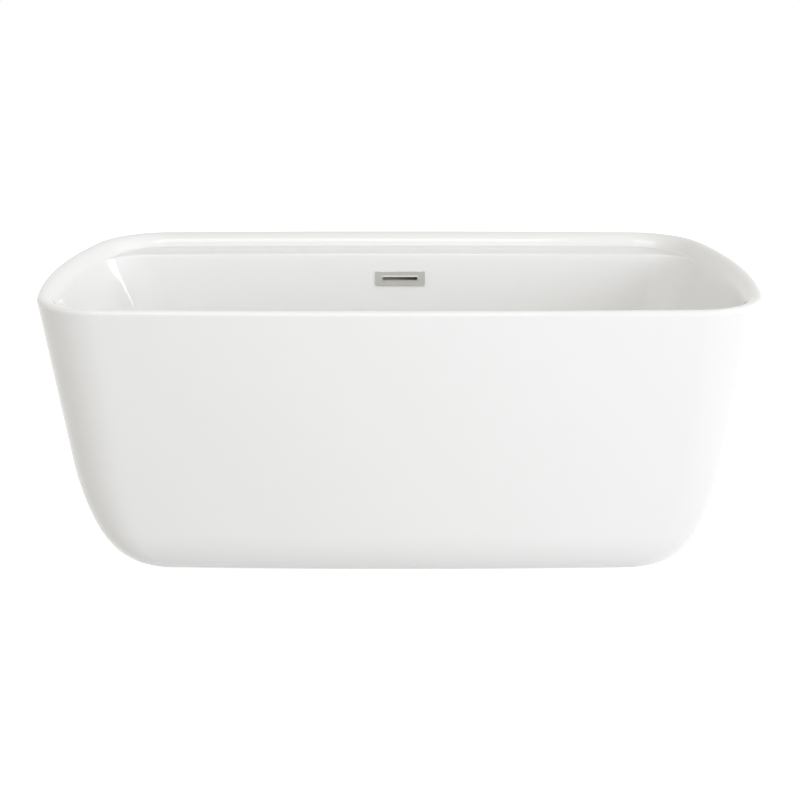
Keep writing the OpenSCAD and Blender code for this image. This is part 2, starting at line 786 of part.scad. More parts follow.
// Coil spring under the piston
spring_turns = 4;
spring_steps = 14; // per turn
spring_sides = 6;
module stopper_spring() {
  low = cartridge_z + 2 + wire_r + snug;
  rise = piston_z - wire_r - snug - low;
  r = cartridge_bore_r - wire_r - snug;
  count = spring_turns * spring_steps;
  pts = [for (i = [0 : count], k = [0 : spring_sides - 1])
    let (turn = 360 * i / spring_steps, w = 360 * k / spring_sides, out = r + wire_r * cos(w))
    [out * cos(turn), out * sin(turn), low + rise * i / count + wire_r * sin(w)]];
  sides = [for (i = [0 : count - 1], k = [0 : spring_sides - 1])
    let (m = (k + 1) % spring_sides, p = i * spring_sides, q = p + spring_sides)
    each [[p + k, q + k, q + m], [p + k, q + m, p + m]]];
  ends = [[for (k = [0 : spring_sides - 1]) k],
    [for (k = [spring_sides - 1 : -1 : 0]) count * spring_sides + k]];
  color("#c9cbcc")
    at_waste()
      polyhedron(pts, concat(sides, ends));
}
module stopper_stem() {
  color(nickel)
    at_waste() {
      translate([0, 0, piston_z])
        cylinder(r = piston_r, h = piston_h);
      translate([0, 0, piston_z])
        cylinder(r = stem_r, h = cap_z + cap_t / 2 - piston_z);
    }
}

// Domed cap, screwed onto the stem
module stopper_cap() {
  color(nickel)
    at_waste()
      difference() {
        rotate_extrude()
          polygon(concat([[0, cap_z]], [[cap_r - 1, cap_z]],
            [for (a = [0 : 15 : 90]) [cap_r - cap_t / 2 + cap_t / 2 * cos(a),
              cap_z + cap_t / 2 + cap_t / 2 * sin(a)]], [[0, cap_z + cap_t + 1]]));
        translate([0, 0, cap_z - 1])
          cylinder(r = stem_r + snug, h = cap_t / 2 + 1 + snug);
      }
}
module stopper_seal() {
  color(rubber)
    at_waste()
      ring(barrel_bore_r + 2, barrel_bore_r + 7, flange_z + flange_t + slide,
        seat_t - slide - snug);
}

// ---------- Overflow ----------
overflow_z = tub_h - overflow_drop;
bow_room = 0.6; // for the slight bow of the wall behind the plate
gasket_t = 1.2;
retainer_t = 1.5;
throat_w = slot_l + 18;
throat_h = plate_h - 15;
plate_screw_x = slot_l / 2 + 5;
front_gasket_z = bow_room;
retainer_z = front_gasket_z + gasket_t + snug;
rear_gasket_z = -basin_t - snug - gasket_t;
elbow_z = rear_gasket_z - snug;
elbow_wall = 2.5;
throat_corner_r = 3;
gasket_lap = 4; // of the gaskets past the throat, all round
screw_boss = 3 * small_screw_r;
boss_l = 12;
slot_corner_r = 1;
elbow_depth = 2 * hose_r + 2 * elbow_wall;
elbow_h = throat_h + 2 * elbow_wall;

// Local frame on the back wall of the well: X along the tub, Y up the wall, Z into the well
module at_overflow() {
  translate([waste_x, well_back(overflow_z), overflow_z])
    rotate([90 - side_lean, 0, 0])
      children();
}
// Block w wide and h high with rounded corners, from z to z + d
module rounded_plate(w, h, z, d, r) {
  translate([0, 0, z])
    linear_extrude(d) {
      square([w - 2 * r, h], center = true);
      square([w, h - 2 * r], center = true);
      for (x = [r - w / 2, w / 2 - r], y = [r - h / 2, h / 2 - r])
        translate([x, y])
          circle(r = r);
    }
}
module plate_screw_holes(r, z, h) {
  for (x = [-plate_screw_x, plate_screw_x])
    translate([x, 0, z])
      cylinder(r = r, h = h);
}

// Cover with the slot in its face, pressed on over the retainer
module overflow_plate() {
  inside_w = plate_w - 2 * cover_wall;
  inside_h = plate_h - 2 * cover_wall;
  color(nickel)
    at_overflow()
      difference() {
        rounded_plate(plate_w, plate_h, bow_room, plate_t, 2 * cover_wall);
        rounded_plate(inside_w, inside_h, bow_room - cut, plate_t - cover_wall + cut, cover_wall);
        rounded_plate(slot_l, slot_h, bow_room, plate_t + cut, slot_corner_r);
      }
}

// Frame under the cover, screwed through the wall to the elbow
module overflow_retainer() {
  fit = 2 * (cover_wall + snug);
  color("#e8e6df")
    at_overflow()
      difference() {
        rounded_plate(plate_w - fit, plate_h - fit, retainer_z, retainer_t, cover_wall);
        rounded_plate(slot_l, slot_h + 2 * cut, retainer_z - cut, retainer_t + 2 * cut,
          slot_corner_r);
        plate_screw_holes(small_screw_r + snug, retainer_z - cut, retainer_t + 2 * cut);
      }
}
module gasket(z) {
  color(rubber)
    at_overflow()
      difference() {
        rounded_plate(throat_w + 2 * gasket_lap, throat_h + 2 * gasket_lap, z, gasket_t,
          throat_corner_r);
        rounded_plate(throat_w, throat_h, z - cut, gasket_t + 2 * cut, throat_corner_r);
      }
}

// Box behind the wall that gathers the overflow and turns it down into the hose
spigot_y = well_back(overflow_z) + (elbow_depth / 2 - elbow_z) * cos(side_lean);
elbow_mid_z = overflow_z + (elbow_z - elbow_depth / 2) * sin(side_lean);
spigot_top = elbow_mid_z - elbow_h / 2 - elbow_depth / 2 * sin(side_lean);
module overflow_elbow() {
  color("#e8e6df")
    difference() {
      union() {
        at_overflow() {
          rounded_plate(throat_w + 2 * gasket_lap, throat_h + 2 * gasket_lap,
            elbow_z - elbow_wall, elbow_wall, throat_corner_r);
          rounded_plate(throat_w + 2 * elbow_wall, elbow_h, elbow_z - elbow_depth,
            elbow_depth, throat_corner_r);
        }
        translate([waste_x, spigot_y, spigot_top - spigot_l])
          cylinder(r = branch_r, h = spigot_l + elbow_h / 2);
      }
      at_overflow()
        difference() {
          rounded_plate(throat_w, throat_h, elbow_z - elbow_depth + elbow_wall,
            elbow_depth, throat_corner_r);
          for (side = [-1, 1])
            translate([side * plate_screw_x - screw_boss / 2, -throat_h, elbow_z - boss_l])
              cube([screw_boss, 2 * throat_h, boss_l]);
        }
      at_overflow()
        plate_screw_holes(small_screw_r + snug, elbow_z - boss_l + elbow_wall, boss_l);
      translate([waste_x, spigot_y, spigot_top - spigot_l - 1])
        cylinder(r = branch_r - hose_wall, h = spigot_l + elbow_h / 2 + 1);
    }
}
module overflow_screws() {
  head_z = retainer_z + retainer_t + snug / 2;
  screw_l = head_z - elbow_z + boss_l - elbow_wall;
  color("#c9cbcc")
    at_overflow()
      for (x = [-plate_screw_x, plate_screw_x])
        translate([x, 0, head_z]) {
          cylinder(r = 2 * small_screw_r, h = bow_room + plate_t - cover_wall - snug - head_z);
          translate([0, 0, -screw_l])
            cylinder(r = small_screw_r, h = screw_l + snug);
        }
}

// Hose from the elbow down behind the well, round a bend and under the back rail to the shoe
hose_top = spigot_top - 3;
hose_end_y = branch_y + 3;
bend_z = hose_z + hose_bend_r;
bend_y = spigot_y - hose_bend_r;
module hose_solid(r, extra) {
  translate([waste_x, spigot_y, bend_z])
    cylinder(r = r, h = hose_top - bend_z + extra);
  translate([waste_x, bend_y, hose_z])
    rotate([90, 0, 0])
      cylinder(r = r, h = bend_y - hose_end_y + extra);
  translate([waste_x, bend_y, bend_z])
    rotate([0, 90, 0])
      rotate_extrude(angle = 90)
        translate([hose_bend_r, 0])
          circle(r = r);
}
module overflow_hose() {
  color("#8f9294")
    difference() {
      hose_solid(hose_r, 0);
      hose_solid(hose_r - hose_wall, 1);
    }
}

// Worm-drive clamps round both ends of the hose
clamp_w = 9;
clamp_t = 1;
module clamp() {
  ring(hose_r + snug, hose_r + snug + clamp_t, 0, clamp_w);
  translate([-5, hose_r + snug + clamp_t / 2, 0])
    cube([10, 6, clamp_w]);
}
module hose_clamps() {
  color("#c9cbcc") {
    translate([waste_x, spigot_y, hose_top - 5 - clamp_w])
      clamp();
    translate([waste_x, hose_end_y + 5, hose_z])
      rotate([-90, 0, 0])
        clamp();
  }
}

basin();
skirt();
rim_bond();
base_board();
long_rail(front_rail_y);  // frame_rail_front
long_rail(back_rail_y);  // frame_rail_back
cross_rail(-cross_x);  // cross_rail_left
cross_rail(cross_x);  // cross_rail_right
mid_rail(-mid_x);  // mid_rail_left
mid_rail(mid_x);  // mid_rail_right
board_screws();
skirt_brackets();
bracket_bolts();
flange_screws();
weld_nuts();
jam_nuts();
for (i = [1 : len(feet)]) {
  foot_stud(i);
  foot_pad(i);
}
drain_flange();
drain_seal();
drain_washer();
drain_locknut();
drain_shoe();
tailpiece();
tailpiece_washer();
slip_nut();
stopper_cartridge();
stopper_spring();
stopper_stem();
stopper_cap();
stopper_seal();
overflow_plate();
overflow_retainer();
gasket(front_gasket_z);  // overflow_front_gasket
overflow_elbow();
gasket(rear_gasket_z);  // overflow_rear_gasket
overflow_screws();
overflow_hose();
hose_clamps();
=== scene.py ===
# %% [markdown]
# # A freestanding bathtub
# A tub of this kind is one sheet of white acrylic, heated and drawn down into a mould, with
# glass fibre sprayed on its back. A second shell hangs outside it down to the floor. Under the
# well lie a board, a steel frame on levelling feet, and the waste and overflow pipes. The
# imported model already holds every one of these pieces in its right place, so this lesson only
# gives the shells and the fittings that one can see their true curves and finishes.

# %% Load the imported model
import json
from math import pi, radians, tan

import bmesh
import bpy
import numpy as np
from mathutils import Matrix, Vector


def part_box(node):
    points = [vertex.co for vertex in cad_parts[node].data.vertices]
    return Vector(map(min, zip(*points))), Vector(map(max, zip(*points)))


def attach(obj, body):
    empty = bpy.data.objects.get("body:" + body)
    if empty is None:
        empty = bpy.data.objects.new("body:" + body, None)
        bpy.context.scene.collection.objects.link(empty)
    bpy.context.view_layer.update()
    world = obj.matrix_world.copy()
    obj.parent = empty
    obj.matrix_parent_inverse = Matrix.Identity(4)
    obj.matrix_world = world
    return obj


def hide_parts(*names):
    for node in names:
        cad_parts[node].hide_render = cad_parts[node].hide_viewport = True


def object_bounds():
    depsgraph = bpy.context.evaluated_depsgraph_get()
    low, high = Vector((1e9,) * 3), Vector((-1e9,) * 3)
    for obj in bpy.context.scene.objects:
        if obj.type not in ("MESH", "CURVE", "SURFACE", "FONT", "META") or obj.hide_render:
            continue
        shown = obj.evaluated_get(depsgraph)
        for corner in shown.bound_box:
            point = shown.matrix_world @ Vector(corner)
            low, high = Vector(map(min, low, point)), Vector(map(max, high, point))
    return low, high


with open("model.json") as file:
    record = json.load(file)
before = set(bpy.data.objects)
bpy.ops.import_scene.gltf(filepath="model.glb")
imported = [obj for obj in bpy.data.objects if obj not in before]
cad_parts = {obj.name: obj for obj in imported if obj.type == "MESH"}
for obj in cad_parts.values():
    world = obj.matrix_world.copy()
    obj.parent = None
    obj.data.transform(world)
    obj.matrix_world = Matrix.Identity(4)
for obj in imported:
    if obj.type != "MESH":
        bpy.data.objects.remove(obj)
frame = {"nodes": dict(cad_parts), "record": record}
cad_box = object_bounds()
nodes = frame["nodes"]
MM = 0.001

# %% [markdown]
# The camera stands in front of the tub, at about twice its height, and looks down a little,
# so that the far wall and its ledge show over the near rim. It comes first, because every
# later look at the work goes through it.

# %% Camera
SENSOR, LENS = 36, 50.7  # both in millimetres
CAMERA_BACK, CAMERA_UP = 2.414, 1.160
CAMERA_TILT = 69.7  # degrees, where 90 looks level


def new_object(name, data):
    """An object with the given data, linked to the scene."""
    made = bpy.data.objects.new(name, data)
    bpy.context.scene.collection.objects.link(made)
    return made


camera_data = bpy.data.cameras.new("camera")
camera_data.sensor_width, camera_data.lens = SENSOR, LENS
camera = new_object("camera", camera_data)
camera.location = (0, -CAMERA_BACK, CAMERA_UP)
camera.rotation_euler = (radians(CAMERA_TILT), 0, 0)
bpy.context.scene.camera = camera
print("camera at", [round(v, 3) for v in camera.location])

# %% [markdown]
# ## Sizes
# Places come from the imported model's own boxes. What a box can't tell, such as a radius, a
# lean or a wall, is a named size here. All lengths are in metres.

# %% Sizes of the shells
half_length = (cad_box[1].x - cad_box[0].x) / 2
half_width = (cad_box[1].y - cad_box[0].y) / 2
rim_top = cad_box[1].z
skirt_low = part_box("skirt")[0].z
SHEET = 5 * MM  # thickness of both shells
floor_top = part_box("basin")[0].z + SHEET

# The skirt: its round corners in plan, how far it leans in, and how it curls under
RIM_CORNER, BASE_CORNER = 160 * MM, 110 * MM
END_BOW, SIDE_BOW = 13, 1.8  # half of the angle that a bowed end or side turns through
END_SETBACK, SIDE_SETBACK = 66 * MM, 24 * MM
END_TUCK, END_TUCK_TOP = 90 * MM, 240 * MM
SIDE_TUCK, SIDE_TUCK_TOP = 45 * MM, 100 * MM
FLANGE_IN = 24 * MM

# The rim and the ledge: the edge's radius, the lip outside it and the roll inside it
EDGE_R, LIP, ROLL_DROP = 9 * MM, 22 * MM, 30 * MM
SIDE_ROLL, END_ROLL = 40 * MM, 43 * MM
LEDGE, LEDGE_EDGE, LEDGE_FOOT = 84 * MM, 6 * MM, 7 * MM
LEDGE_TIP = 9  # normal angle at which the ledge runs out

# The well: the lean of its walls in degrees, and the cove and corners lower down
END_LEAN, SIDE_LEAN = 21, 7
COVE, END_COVE, SIDE_COVE = 120 * MM, 120 * MM, 78 * MM
WELL_CORNER, FLOOR_CORNER = 120 * MM, 60 * MM

edge_z = rim_top - EDGE_R
lip_z = rim_top - LIP
ledge_z = rim_top - ROLL_DROP
print(f"tub {2 * half_length:.3f} x {2 * half_width:.3f} x {rim_top:.3f} m")

# %% [markdown]
# ## The plan of the tub
# Seen from above, every outline of this tub is made of arcs: a bowed end, a rounded corner and
# a nearly straight side, which meet without a kink. A neat way to walk along such an outline
# is by the angle that its outward normal has turned through, from 0 in the middle of the end
# to 90 in the middle of the side. Lines that share an angle then run square to the curve, so
# stacked outlines give an even skin.

# %% A quarter of an outline
TURN = radians(90 - SIDE_BOW)  # normal angle where a corner meets the side


def end_and_side(half_l, half_w, corner, bow):
    """Radii of the end arc and the side arc of a quarter outline. They solve two equations:
    end arc, corner and side arc together reach half_l in x and half_w in y."""
    p = half_l - corner * (np.cos(bow) - np.cos(TURN))
    q = half_w - corner * (np.sin(TURN) - np.sin(bow))
    both = np.cos(TURN) * np.sin(bow) - (1 - np.cos(bow)) * (1 - np.sin(TURN))
    end = (np.cos(TURN) * q - (1 - np.sin(TURN)) * p) / both
    side = (p * np.sin(bow) - (1 - np.cos(bow)) * q) / both
    return end, side


def quarter(half_l, half_w, corner, bow, normal):
    """x, y and walked length of a quarter outline where its outward normal stands at `normal`.
    Each arc adds its radius times the change of cosine to x, of sine to y, and of angle to
    the length. Every value may be an array."""
    end, side = end_and_side(half_l, half_w, corner, bow)
    n1, n2, n3 = np.minimum(normal, bow), np.clip(normal, bow, TURN), np.maximum(normal, TURN)
    x = (half_l - end * (1 - np.cos(n1)) - corner * (np.cos(bow) - np.cos(n2))
         - side * (np.cos(TURN) - np.cos(n3)))
    y = (end * np.sin(n1) + corner * (np.sin(n2) - np.sin(bow))
         + side * (np.sin(n3) - np.sin(TURN)))
    return x, y, end * n1 + corner * (n2 - bow) + side * (n3 - TURN)


def corner_with_end(half_l, half_w, end, bow):
    """Corner radius of a quarter whose end arc is given: the same two equations, solved for
    the corner."""
    p, q = half_l - end * (1 - np.cos(bow)), half_w - end * np.sin(bow)
    top = p * (1 - np.sin(TURN)) - q * np.cos(TURN)
    return top / ((np.cos(bow) - np.cos(TURN)) * (1 - np.sin(TURN))
                  - (np.sin(TURN) - np.sin(bow)) * np.cos(TURN))


bow, tip = radians(END_BOW), radians(LEDGE_TIP)
print("end and side radius of the rim",
      np.round(end_and_side(half_length, half_width, RIM_CORNER, bow), 3))

# %% [markdown]
# ## How the skins lean and curl
# The outer shell leans in a little towards the floor and then curls under, more at the ends
# than at the sides. Inside, the rim rolls over and down as a quarter of an ellipse, the walls
# lean, and a wide cove carries them into the floor. Each of these is one short formula of the
# height, and the outline functions turn it into a ring of points.

# %% Outer and inner sizes at a height
def curl(reach, top, z):
    """Inset of a quarter ellipse that starts upright at `top` and lies flat at the skirt's
    lower edge, `reach` further in."""
    fall = np.clip((top - z) / (top - skirt_low), 0, 1)
    return reach * (1 - np.sqrt(1 - fall ** 2))


def outer(z, inset=0):
    """Half-length, half-width and corner radius of the outside at height z: the setback grows
    evenly downwards and the curl is added to it."""
    down = (edge_z - z) / edge_z
    return (half_length - END_SETBACK * down - curl(END_TUCK, END_TUCK_TOP, z) - inset,
            half_width - SIDE_SETBACK * down - curl(SIDE_TUCK, SIDE_TUCK_TOP, z) - inset,
            BASE_CORNER + (RIM_CORNER - BASE_CORNER) * z / rim_top - inset)


def roll(depth, width, lean):
    """Inset of the rolled rim at a depth below its crest: a quarter ellipse, stretched so that
    it is `width` in at ROLL_DROP and leaves there with the wall's lean."""
    u = tan(radians(lean)) * ROLL_DROP / (width - EDGE_R)
    q = u / (1 - u)
    tall, wide = ROLL_DROP / (1 - q), (width - EDGE_R) / np.sqrt(1 - q * q)
    return EDGE_R + wide * np.sqrt(1 - (1 - depth / tall) ** 2)


def cove(reach, z):
    """Inset of the cove, a quarter ellipse COVE high."""
    fall = np.clip((floor_top + COVE - z) / COVE, 0, 1)
    return reach * (1 - np.sqrt(1 - fall ** 2))


def well_front(z):
    """Half-width of the well on its front side: leaning wall less the cove."""
    return half_width - SIDE_ROLL - tan(radians(SIDE_LEAN)) * (ledge_z - z) - cove(SIDE_COVE, z)


def well_length(z):
    """Half-length of the well, the same way."""
    return half_length - END_ROLL - tan(radians(END_LEAN)) * (ledge_z - z) - cove(END_COVE, z)


def well_corner(z, top_corner):
    """Corner radius of the well: it shrinks to FLOOR_CORNER as the front wall comes in."""
    share = ((well_front(z) - well_front(floor_top))
             / (well_front(ledge_z) - well_front(floor_top)))
    return FLOOR_CORNER + (top_corner - FLOOR_CORNER) * share


kept_end = end_and_side(well_length(ledge_z), well_front(ledge_z), WELL_CORNER, bow)[0]
ledge_corner = corner_with_end(well_length(ledge_z), well_front(ledge_z) - LEDGE, kept_end, tip)
print(f"the ledge's corner radius is {ledge_corner:.3f} m")

# %% [markdown]
# ## Columns
# One set of columns runs round the whole tub. In front, a column keeps one normal angle from
# rim to floor. At the back, the ledge opens like a crescent between the rim's outline and the
# well's, which part at the ledge's tip. There a column takes its two angles at the same share
# of the way from the tip to the middle of the back, so the ledge isn't skewed.

# %% Columns round the tub
END_STEPS, CORNER_STEPS, SIDE_STEPS = 12, 30, 24
TIP_STEPS = 9
LEDGE_CURVE, CURVE_STEPS, STRAIGHT_STEPS = 0.34, 56, 26  # share of the ledge that bends most


def angles_on_the_way(shares, half_l, half_w, corner, bend):
    """Normal angles at given shares of the walk from the ledge's tip to the middle."""
    table = np.linspace(tip, pi / 2, 4001)
    walked = quarter(half_l, half_w, corner, bend, table)[2]
    return np.interp(walked[0] + shares * (walked[-1] - walked[0]), walked, table)


def around(back, front):
    """Values of a back quarter and a front quarter, laid out once round the tub from the
    middle of the right end, back first."""
    return np.concatenate([back[:-1], back[:0:-1], front[:-1], front[:0:-1]])


front = np.concatenate([np.linspace(0, bow, END_STEPS + 1),
                        np.linspace(bow, TURN, CORNER_STEPS + 1)[1:],
                        np.linspace(TURN, pi / 2, SIDE_STEPS + 1)[1:]])
shares = np.concatenate([np.linspace(0, LEDGE_CURVE, CURVE_STEPS + 1)[1:],
                         np.linspace(LEDGE_CURVE, 1, STRAIGHT_STEPS + 1)[1:]])
shared = np.linspace(0, tip, TIP_STEPS + 1)
long_l = well_length(ledge_z)
rim_angles = angles_on_the_way(shares, long_l, well_front(ledge_z), WELL_CORNER, bow)
well_angles = angles_on_the_way(shares, long_l, well_front(ledge_z) - LEDGE, ledge_corner, tip)
on_rim = around(np.concatenate([shared, rim_angles]), front)
in_well = around(np.concatenate([shared, well_angles]), front)
back_count = 2 * (len(shared) + len(shares) - 1)
columns = len(on_rim)
at_back = np.arange(columns) < back_count
half_back, half_front = back_count // 2, (columns - back_count) // 2
side_x = np.concatenate([np.ones(half_back), -np.ones(half_back + half_front),
                         np.ones(half_front)])
side_y = np.where(at_back, 1, -1)
print(columns, "columns,", back_count, "of them at the back")

# %% Rings of points
def xyz(x, y, z):
    """Points from their coordinates, each of them an array or one number for all."""
    return np.stack(np.broadcast_arrays(x, y, z), -1)


def ring(z, half_l, half_w, corner, bend, normal):
    """Rows x columns x 3 points of outlines, mirrored into the four quarters. One height gives
    one row."""
    x, y = map(np.atleast_2d, quarter(half_l, half_w, corner, bend, normal)[:2])
    return xyz(side_x * x, side_y * y, z)


def outer_ring(z, inset=0, level=None):
    """The outside at height z, moved in by `inset`, drawn at `level` if one is given."""
    return ring(z if level is None else level, *outer(z, inset), bow, on_rim)


def roll_ring(depth, out=0, up=0):
    """The rolled rim at a depth below the crest, moved out and up by a wall's thickness."""
    side_in = roll(depth, SIDE_ROLL, SIDE_LEAN)
    crest_corner = outer(edge_z, EDGE_R)[2]
    way = (side_in - EDGE_R) / (SIDE_ROLL - EDGE_R)
    return ring(rim_top - depth + up, half_length - roll(depth, END_ROLL, END_LEAN) + out,
                half_width - side_in + out,
                crest_corner + (WELL_CORNER - crest_corner) * way + out, bow, on_rim)


def well_ring(z, out=0, up=0):
    """The well at height z. Its back stands LEDGE further in than its front."""
    half_w = well_front(z) - np.where(at_back, LEDGE, 0)
    corner = well_corner(z, np.where(at_back, ledge_corner, WELL_CORNER))
    return ring(z + up, well_length(z) + out, half_w + out, corner + out,
                np.where(at_back, tip, bow), in_well)


def rounded(a, b, c, count):
    """A corner between three rings a, b, c, rounded as the curve (1-t)^2 a + 2t(1-t) b + t^2 c,
    which leaves a and reaches c without a kink."""
    t = np.linspace(0, 1, count + 1)[1:, None, None]
    return (1 - t) ** 2 * a + 2 * t * (1 - t) * b + t ** 2 * c


def steps(first, last, count):
    """Heights from first to last as a column of rows, without the first."""
    return first + np.linspace(0, 1, count + 1)[1:, None] * (last - first)


foot_of_roll = roll_ring(ROLL_DROP)
top_of_well = well_ring(ledge_z)
ledge_width = np.linalg.norm((foot_of_roll - top_of_well)[0], axis=-1)
print(f"the ledge is up to {ledge_width.max():.3f} m wide")

# %% [markdown]
# ## Meshes from grids
# Every new piece is a grid of points that closes on itself, so that it is a solid with an
# inside and an outside. The ledge's rows fall onto one line where there is no ledge. Merging
# points that coincide turns them into plain seams there.

# %% Grid to mesh
POINT = 1e-9  # a ring of this size is a point
MERGE = 1e-6  # points this close become one
CREASE = 38  # degrees; a sharper edge stays sharp
finish_of = {}  # the material of each slot, once it is made


def grid_faces(rows, cols, loop_rows):
    """Quads of a rows x cols grid numbered row by row. Point (i, j) joins (i, j+1), (i+1, j+1)
    and (i+1, j). The last column joins the first, and so does the last row if `loop_rows`."""
    i = np.arange(rows if loop_rows else rows - 1)[:, None]
    j = np.arange(cols)[None, :]
    up, right = (i + 1) % rows, (j + 1) % cols
    corners = [i * cols + j, i * cols + right, up * cols + right, up * cols + j]
    return np.stack(corners, -1).reshape(-1, 4)


def solid_mesh(name, grids, back_starts=None):
    """A mesh from closed grids. Rows loop, unless the first row is a pole, where all of its
    points coincide. Points that coincide are merged. Faces from row back_starts on get the
    second finish."""
    points, faces, finish = [], [], []
    start = 0
    for grid in grids:
        rows, cols = grid.shape[:2]
        quads = grid_faces(rows, cols, loop_rows=np.ptp(grid[0], axis=0).max() > POINT)
        points.append(grid.reshape(-1, 3))
        faces.append(quads + start)
        finish.append(quads[:, 0] // cols >= (back_starts or rows))
        start += rows * cols
    mesh = bpy.data.meshes.new(name)
    mesh.from_pydata(np.concatenate(points).tolist(), [], np.concatenate(faces).tolist())
    mesh.polygons.foreach_set("material_index", np.concatenate(finish).astype(np.int32))
    shape = bmesh.new()
    shape.from_mesh(mesh)
    bmesh.ops.remove_doubles(shape, verts=shape.verts, dist=MERGE)
    shape.to_mesh(mesh)
    shape.free()
    return mesh


def make_piece(name, grids, body, slot, replaced, back_starts=None):
    """One object from closed grids, in its slot's finish, which rides on a body and replaces
    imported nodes. From row back_starts on it is laminate."""
    mesh = solid_mesh(name, grids, back_starts)
    mesh.shade_smooth()
    mesh.set_sharp_from_angle(angle=radians(CREASE))
    mesh.materials.append(finish_of[slot])
    if back_starts:
        mesh.materials.append(finish_of["fibre_laminate"])
    piece = new_object(name, mesh)
    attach(piece, body)
    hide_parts(*replaced)
    print(f"{name}: {len(mesh.polygons)} faces")
    return piece

# %% [markdown]
# ## Finishes
# A finish is built from what the real material is: sheet acrylic, chopped glass fibre, dipped
# or plated steel, satin nickel, moulded plastic, rubber and chipboard. Patterns read Object
# coordinates, which are metres on every piece here, so a scale is one over a real size.

# %% Colours and nodes
def srgb(hex_colour):
    """Linear colour of an sRGB hex value: ((c + 0.055) / 1.055) to the power 2.4 above
    0.04045, and c / 12.92 below it."""
    c = np.array([int(hex_colour[i:i + 2], 16) for i in (1, 3, 5)]) / 255
    linear = np.where(c > 0.04045, ((c + 0.055) / 1.055) ** 2.4, c / 12.92)
    return (*linear.tolist(), 1.0)


def add_node(tree, kind, inputs=None, **settings):
    """Adds a node with its settings. An input takes a value, or an output to link from."""
    node = tree.nodes.new(kind)
    for name, value in settings.items():
        setattr(node, name, value)
    for name, value in (inputs or {}).items():
        if isinstance(value, bpy.types.NodeSocket):
            tree.links.new(value, node.inputs[name])
        else:
            node.inputs[name].default_value = value
    return node


def cleared(holder):
    """The empty node tree of a material or a world."""
    holder.use_nodes = True
    holder.node_tree.nodes.clear()
    return holder.node_tree


def new_finish(slot, name, **surface):
    """Gives one of the record's slots a material with one Principled shader. Returns its tree,
    the shader, and the Object coordinates for its patterns."""
    finish_of[slot] = bpy.data.materials.new(name)
    tree = cleared(finish_of[slot])
    surface = {key.replace("_", " "): value for key, value in surface.items()}
    shader = add_node(tree, "ShaderNodeBsdfPrincipled", surface)
    add_node(tree, "ShaderNodeOutputMaterial", {"Surface": shader.outputs["BSDF"]})
    return tree, shader, add_node(tree, "ShaderNodeTexCoord").outputs["Object"]


def speckle(tree, place, size, detail=2.0, stretch=(1, 1, 1)):
    """Noise whose spots are `size` metres across, longer along an axis with a low stretch."""
    mapped = add_node(tree, "ShaderNodeMapping", {"Vector": place, "Scale": stretch})
    return add_node(tree, "ShaderNodeTexNoise", {"Vector": mapped.outputs["Vector"],
                    "Scale": 1 / size, "Detail": detail}).outputs["Fac"]


def between(tree, fac, low, high, start=0.3, end=0.7):
    """fac, spread from start..end onto low..high."""
    return add_node(tree, "ShaderNodeMapRange", {"Value": fac, "From Min": start,
                    "From Max": end, "To Min": low, "To Max": high}).outputs["Result"]


def roughen(tree, shader, fac, low, high, start=0.3, end=0.7):
    """Roughness from low to high where fac goes from start to end."""
    tree.links.new(between(tree, fac, low, high, start, end), shader.inputs["Roughness"])


def tint(tree, shader, fac, first, second):
    """Base colour between two hex colours, as fac goes from 0 to 1."""
    ramp = add_node(tree, "ShaderNodeValToRGB", {"Fac": fac})
    ramp.color_ramp.elements[0].color = srgb(first)
    ramp.color_ramp.elements[1].color = srgb(second)
    tree.links.new(ramp.outputs["Color"], shader.inputs["Base Color"])


def relief(tree, shader, height, depth):
    """Bump from a 0..1 height, `depth` metres deep."""
    bump = add_node(tree, "ShaderNodeBump", {"Height": height, "Strength": 1.0,
                    "Distance": depth})
    tree.links.new(bump.outputs["Normal"], shader.inputs["Normal"])

# %% [markdown]
# ### Sanitary acrylic
# Cast acrylic sheet, drawn hot over a mould and left as it comes: a deep, even gloss with an
# index of 1.49. Two things keep it from looking like a perfect mirror. The sheet thins as it
# stretches, which leaves long, very shallow waves, and a faint haze of wiping marks makes the
# gloss uneven.

# %% Acrylic
tree, shader, place = new_finish("sanitary_acrylic", "sanitary acrylic",
                                 Base_Color=srgb("#F2F2F1"), Roughness=0.05, IOR=1.49)
haze = speckle(tree, place, 60 * MM, detail=4)
roughen(tree, shader, haze, 0.03, 0.07)
waves = speckle(tree, place, 140 * MM, detail=0)
relief(tree, shader, waves, 0.25 * MM)
print("finishes:", *finish_of)

# %% [markdown]
# ### Glass fibre laminate
# The back of both shells is glass fibre, chopped and sprayed with resin, then rolled flat by
# hand. It dries to a waxy cream with a tangle of pale fibres a few centimetres long.

# %% Laminate
tree, shader, place = new_finish("fibre_laminate", "glass fibre laminate",
                                 Base_Color=srgb("#DDD8C6"), Roughness=0.45, IOR=1.52)
one_way = speckle(tree, place, 3 * MM, stretch=(0.12, 1, 1))
other_way = speckle(tree, place, 3 * MM, stretch=(1, 0.12, 0.4))
tangle = add_node(tree, "ShaderNodeMath", {0: one_way, 1: other_way},
                  operation="MAXIMUM").outputs["Value"]
tint(tree, shader, between(tree, tangle, 0, 1, 0.45, 0.7), "#CFC8B0", "#E9E5D8")
relief(tree, shader, tangle, 0.6 * MM)
print("finishes:", *finish_of)

# %% [markdown]
# ## The basin
# One closed skin: up the lip outside, over the edge and the roll, across the ledge, down the
# wall and the cove, over the floor to the waste hole, and back behind everything one sheet
# thickness away. The rows follow that path, and where a wall turns, the rows lie closer.

# %% Basin rows
LIP_ROWS, EDGE_ROWS, ROLL_ROWS, FOOT_ROWS = 4, 11, 20, 6
LEDGE_ROWS, BROW_ROWS, WALL_ROWS, COVE_ROWS = 5, 7, 16, 28
FADE = 2.6  # widths of a rounding over which it dies away at the ledge's tips


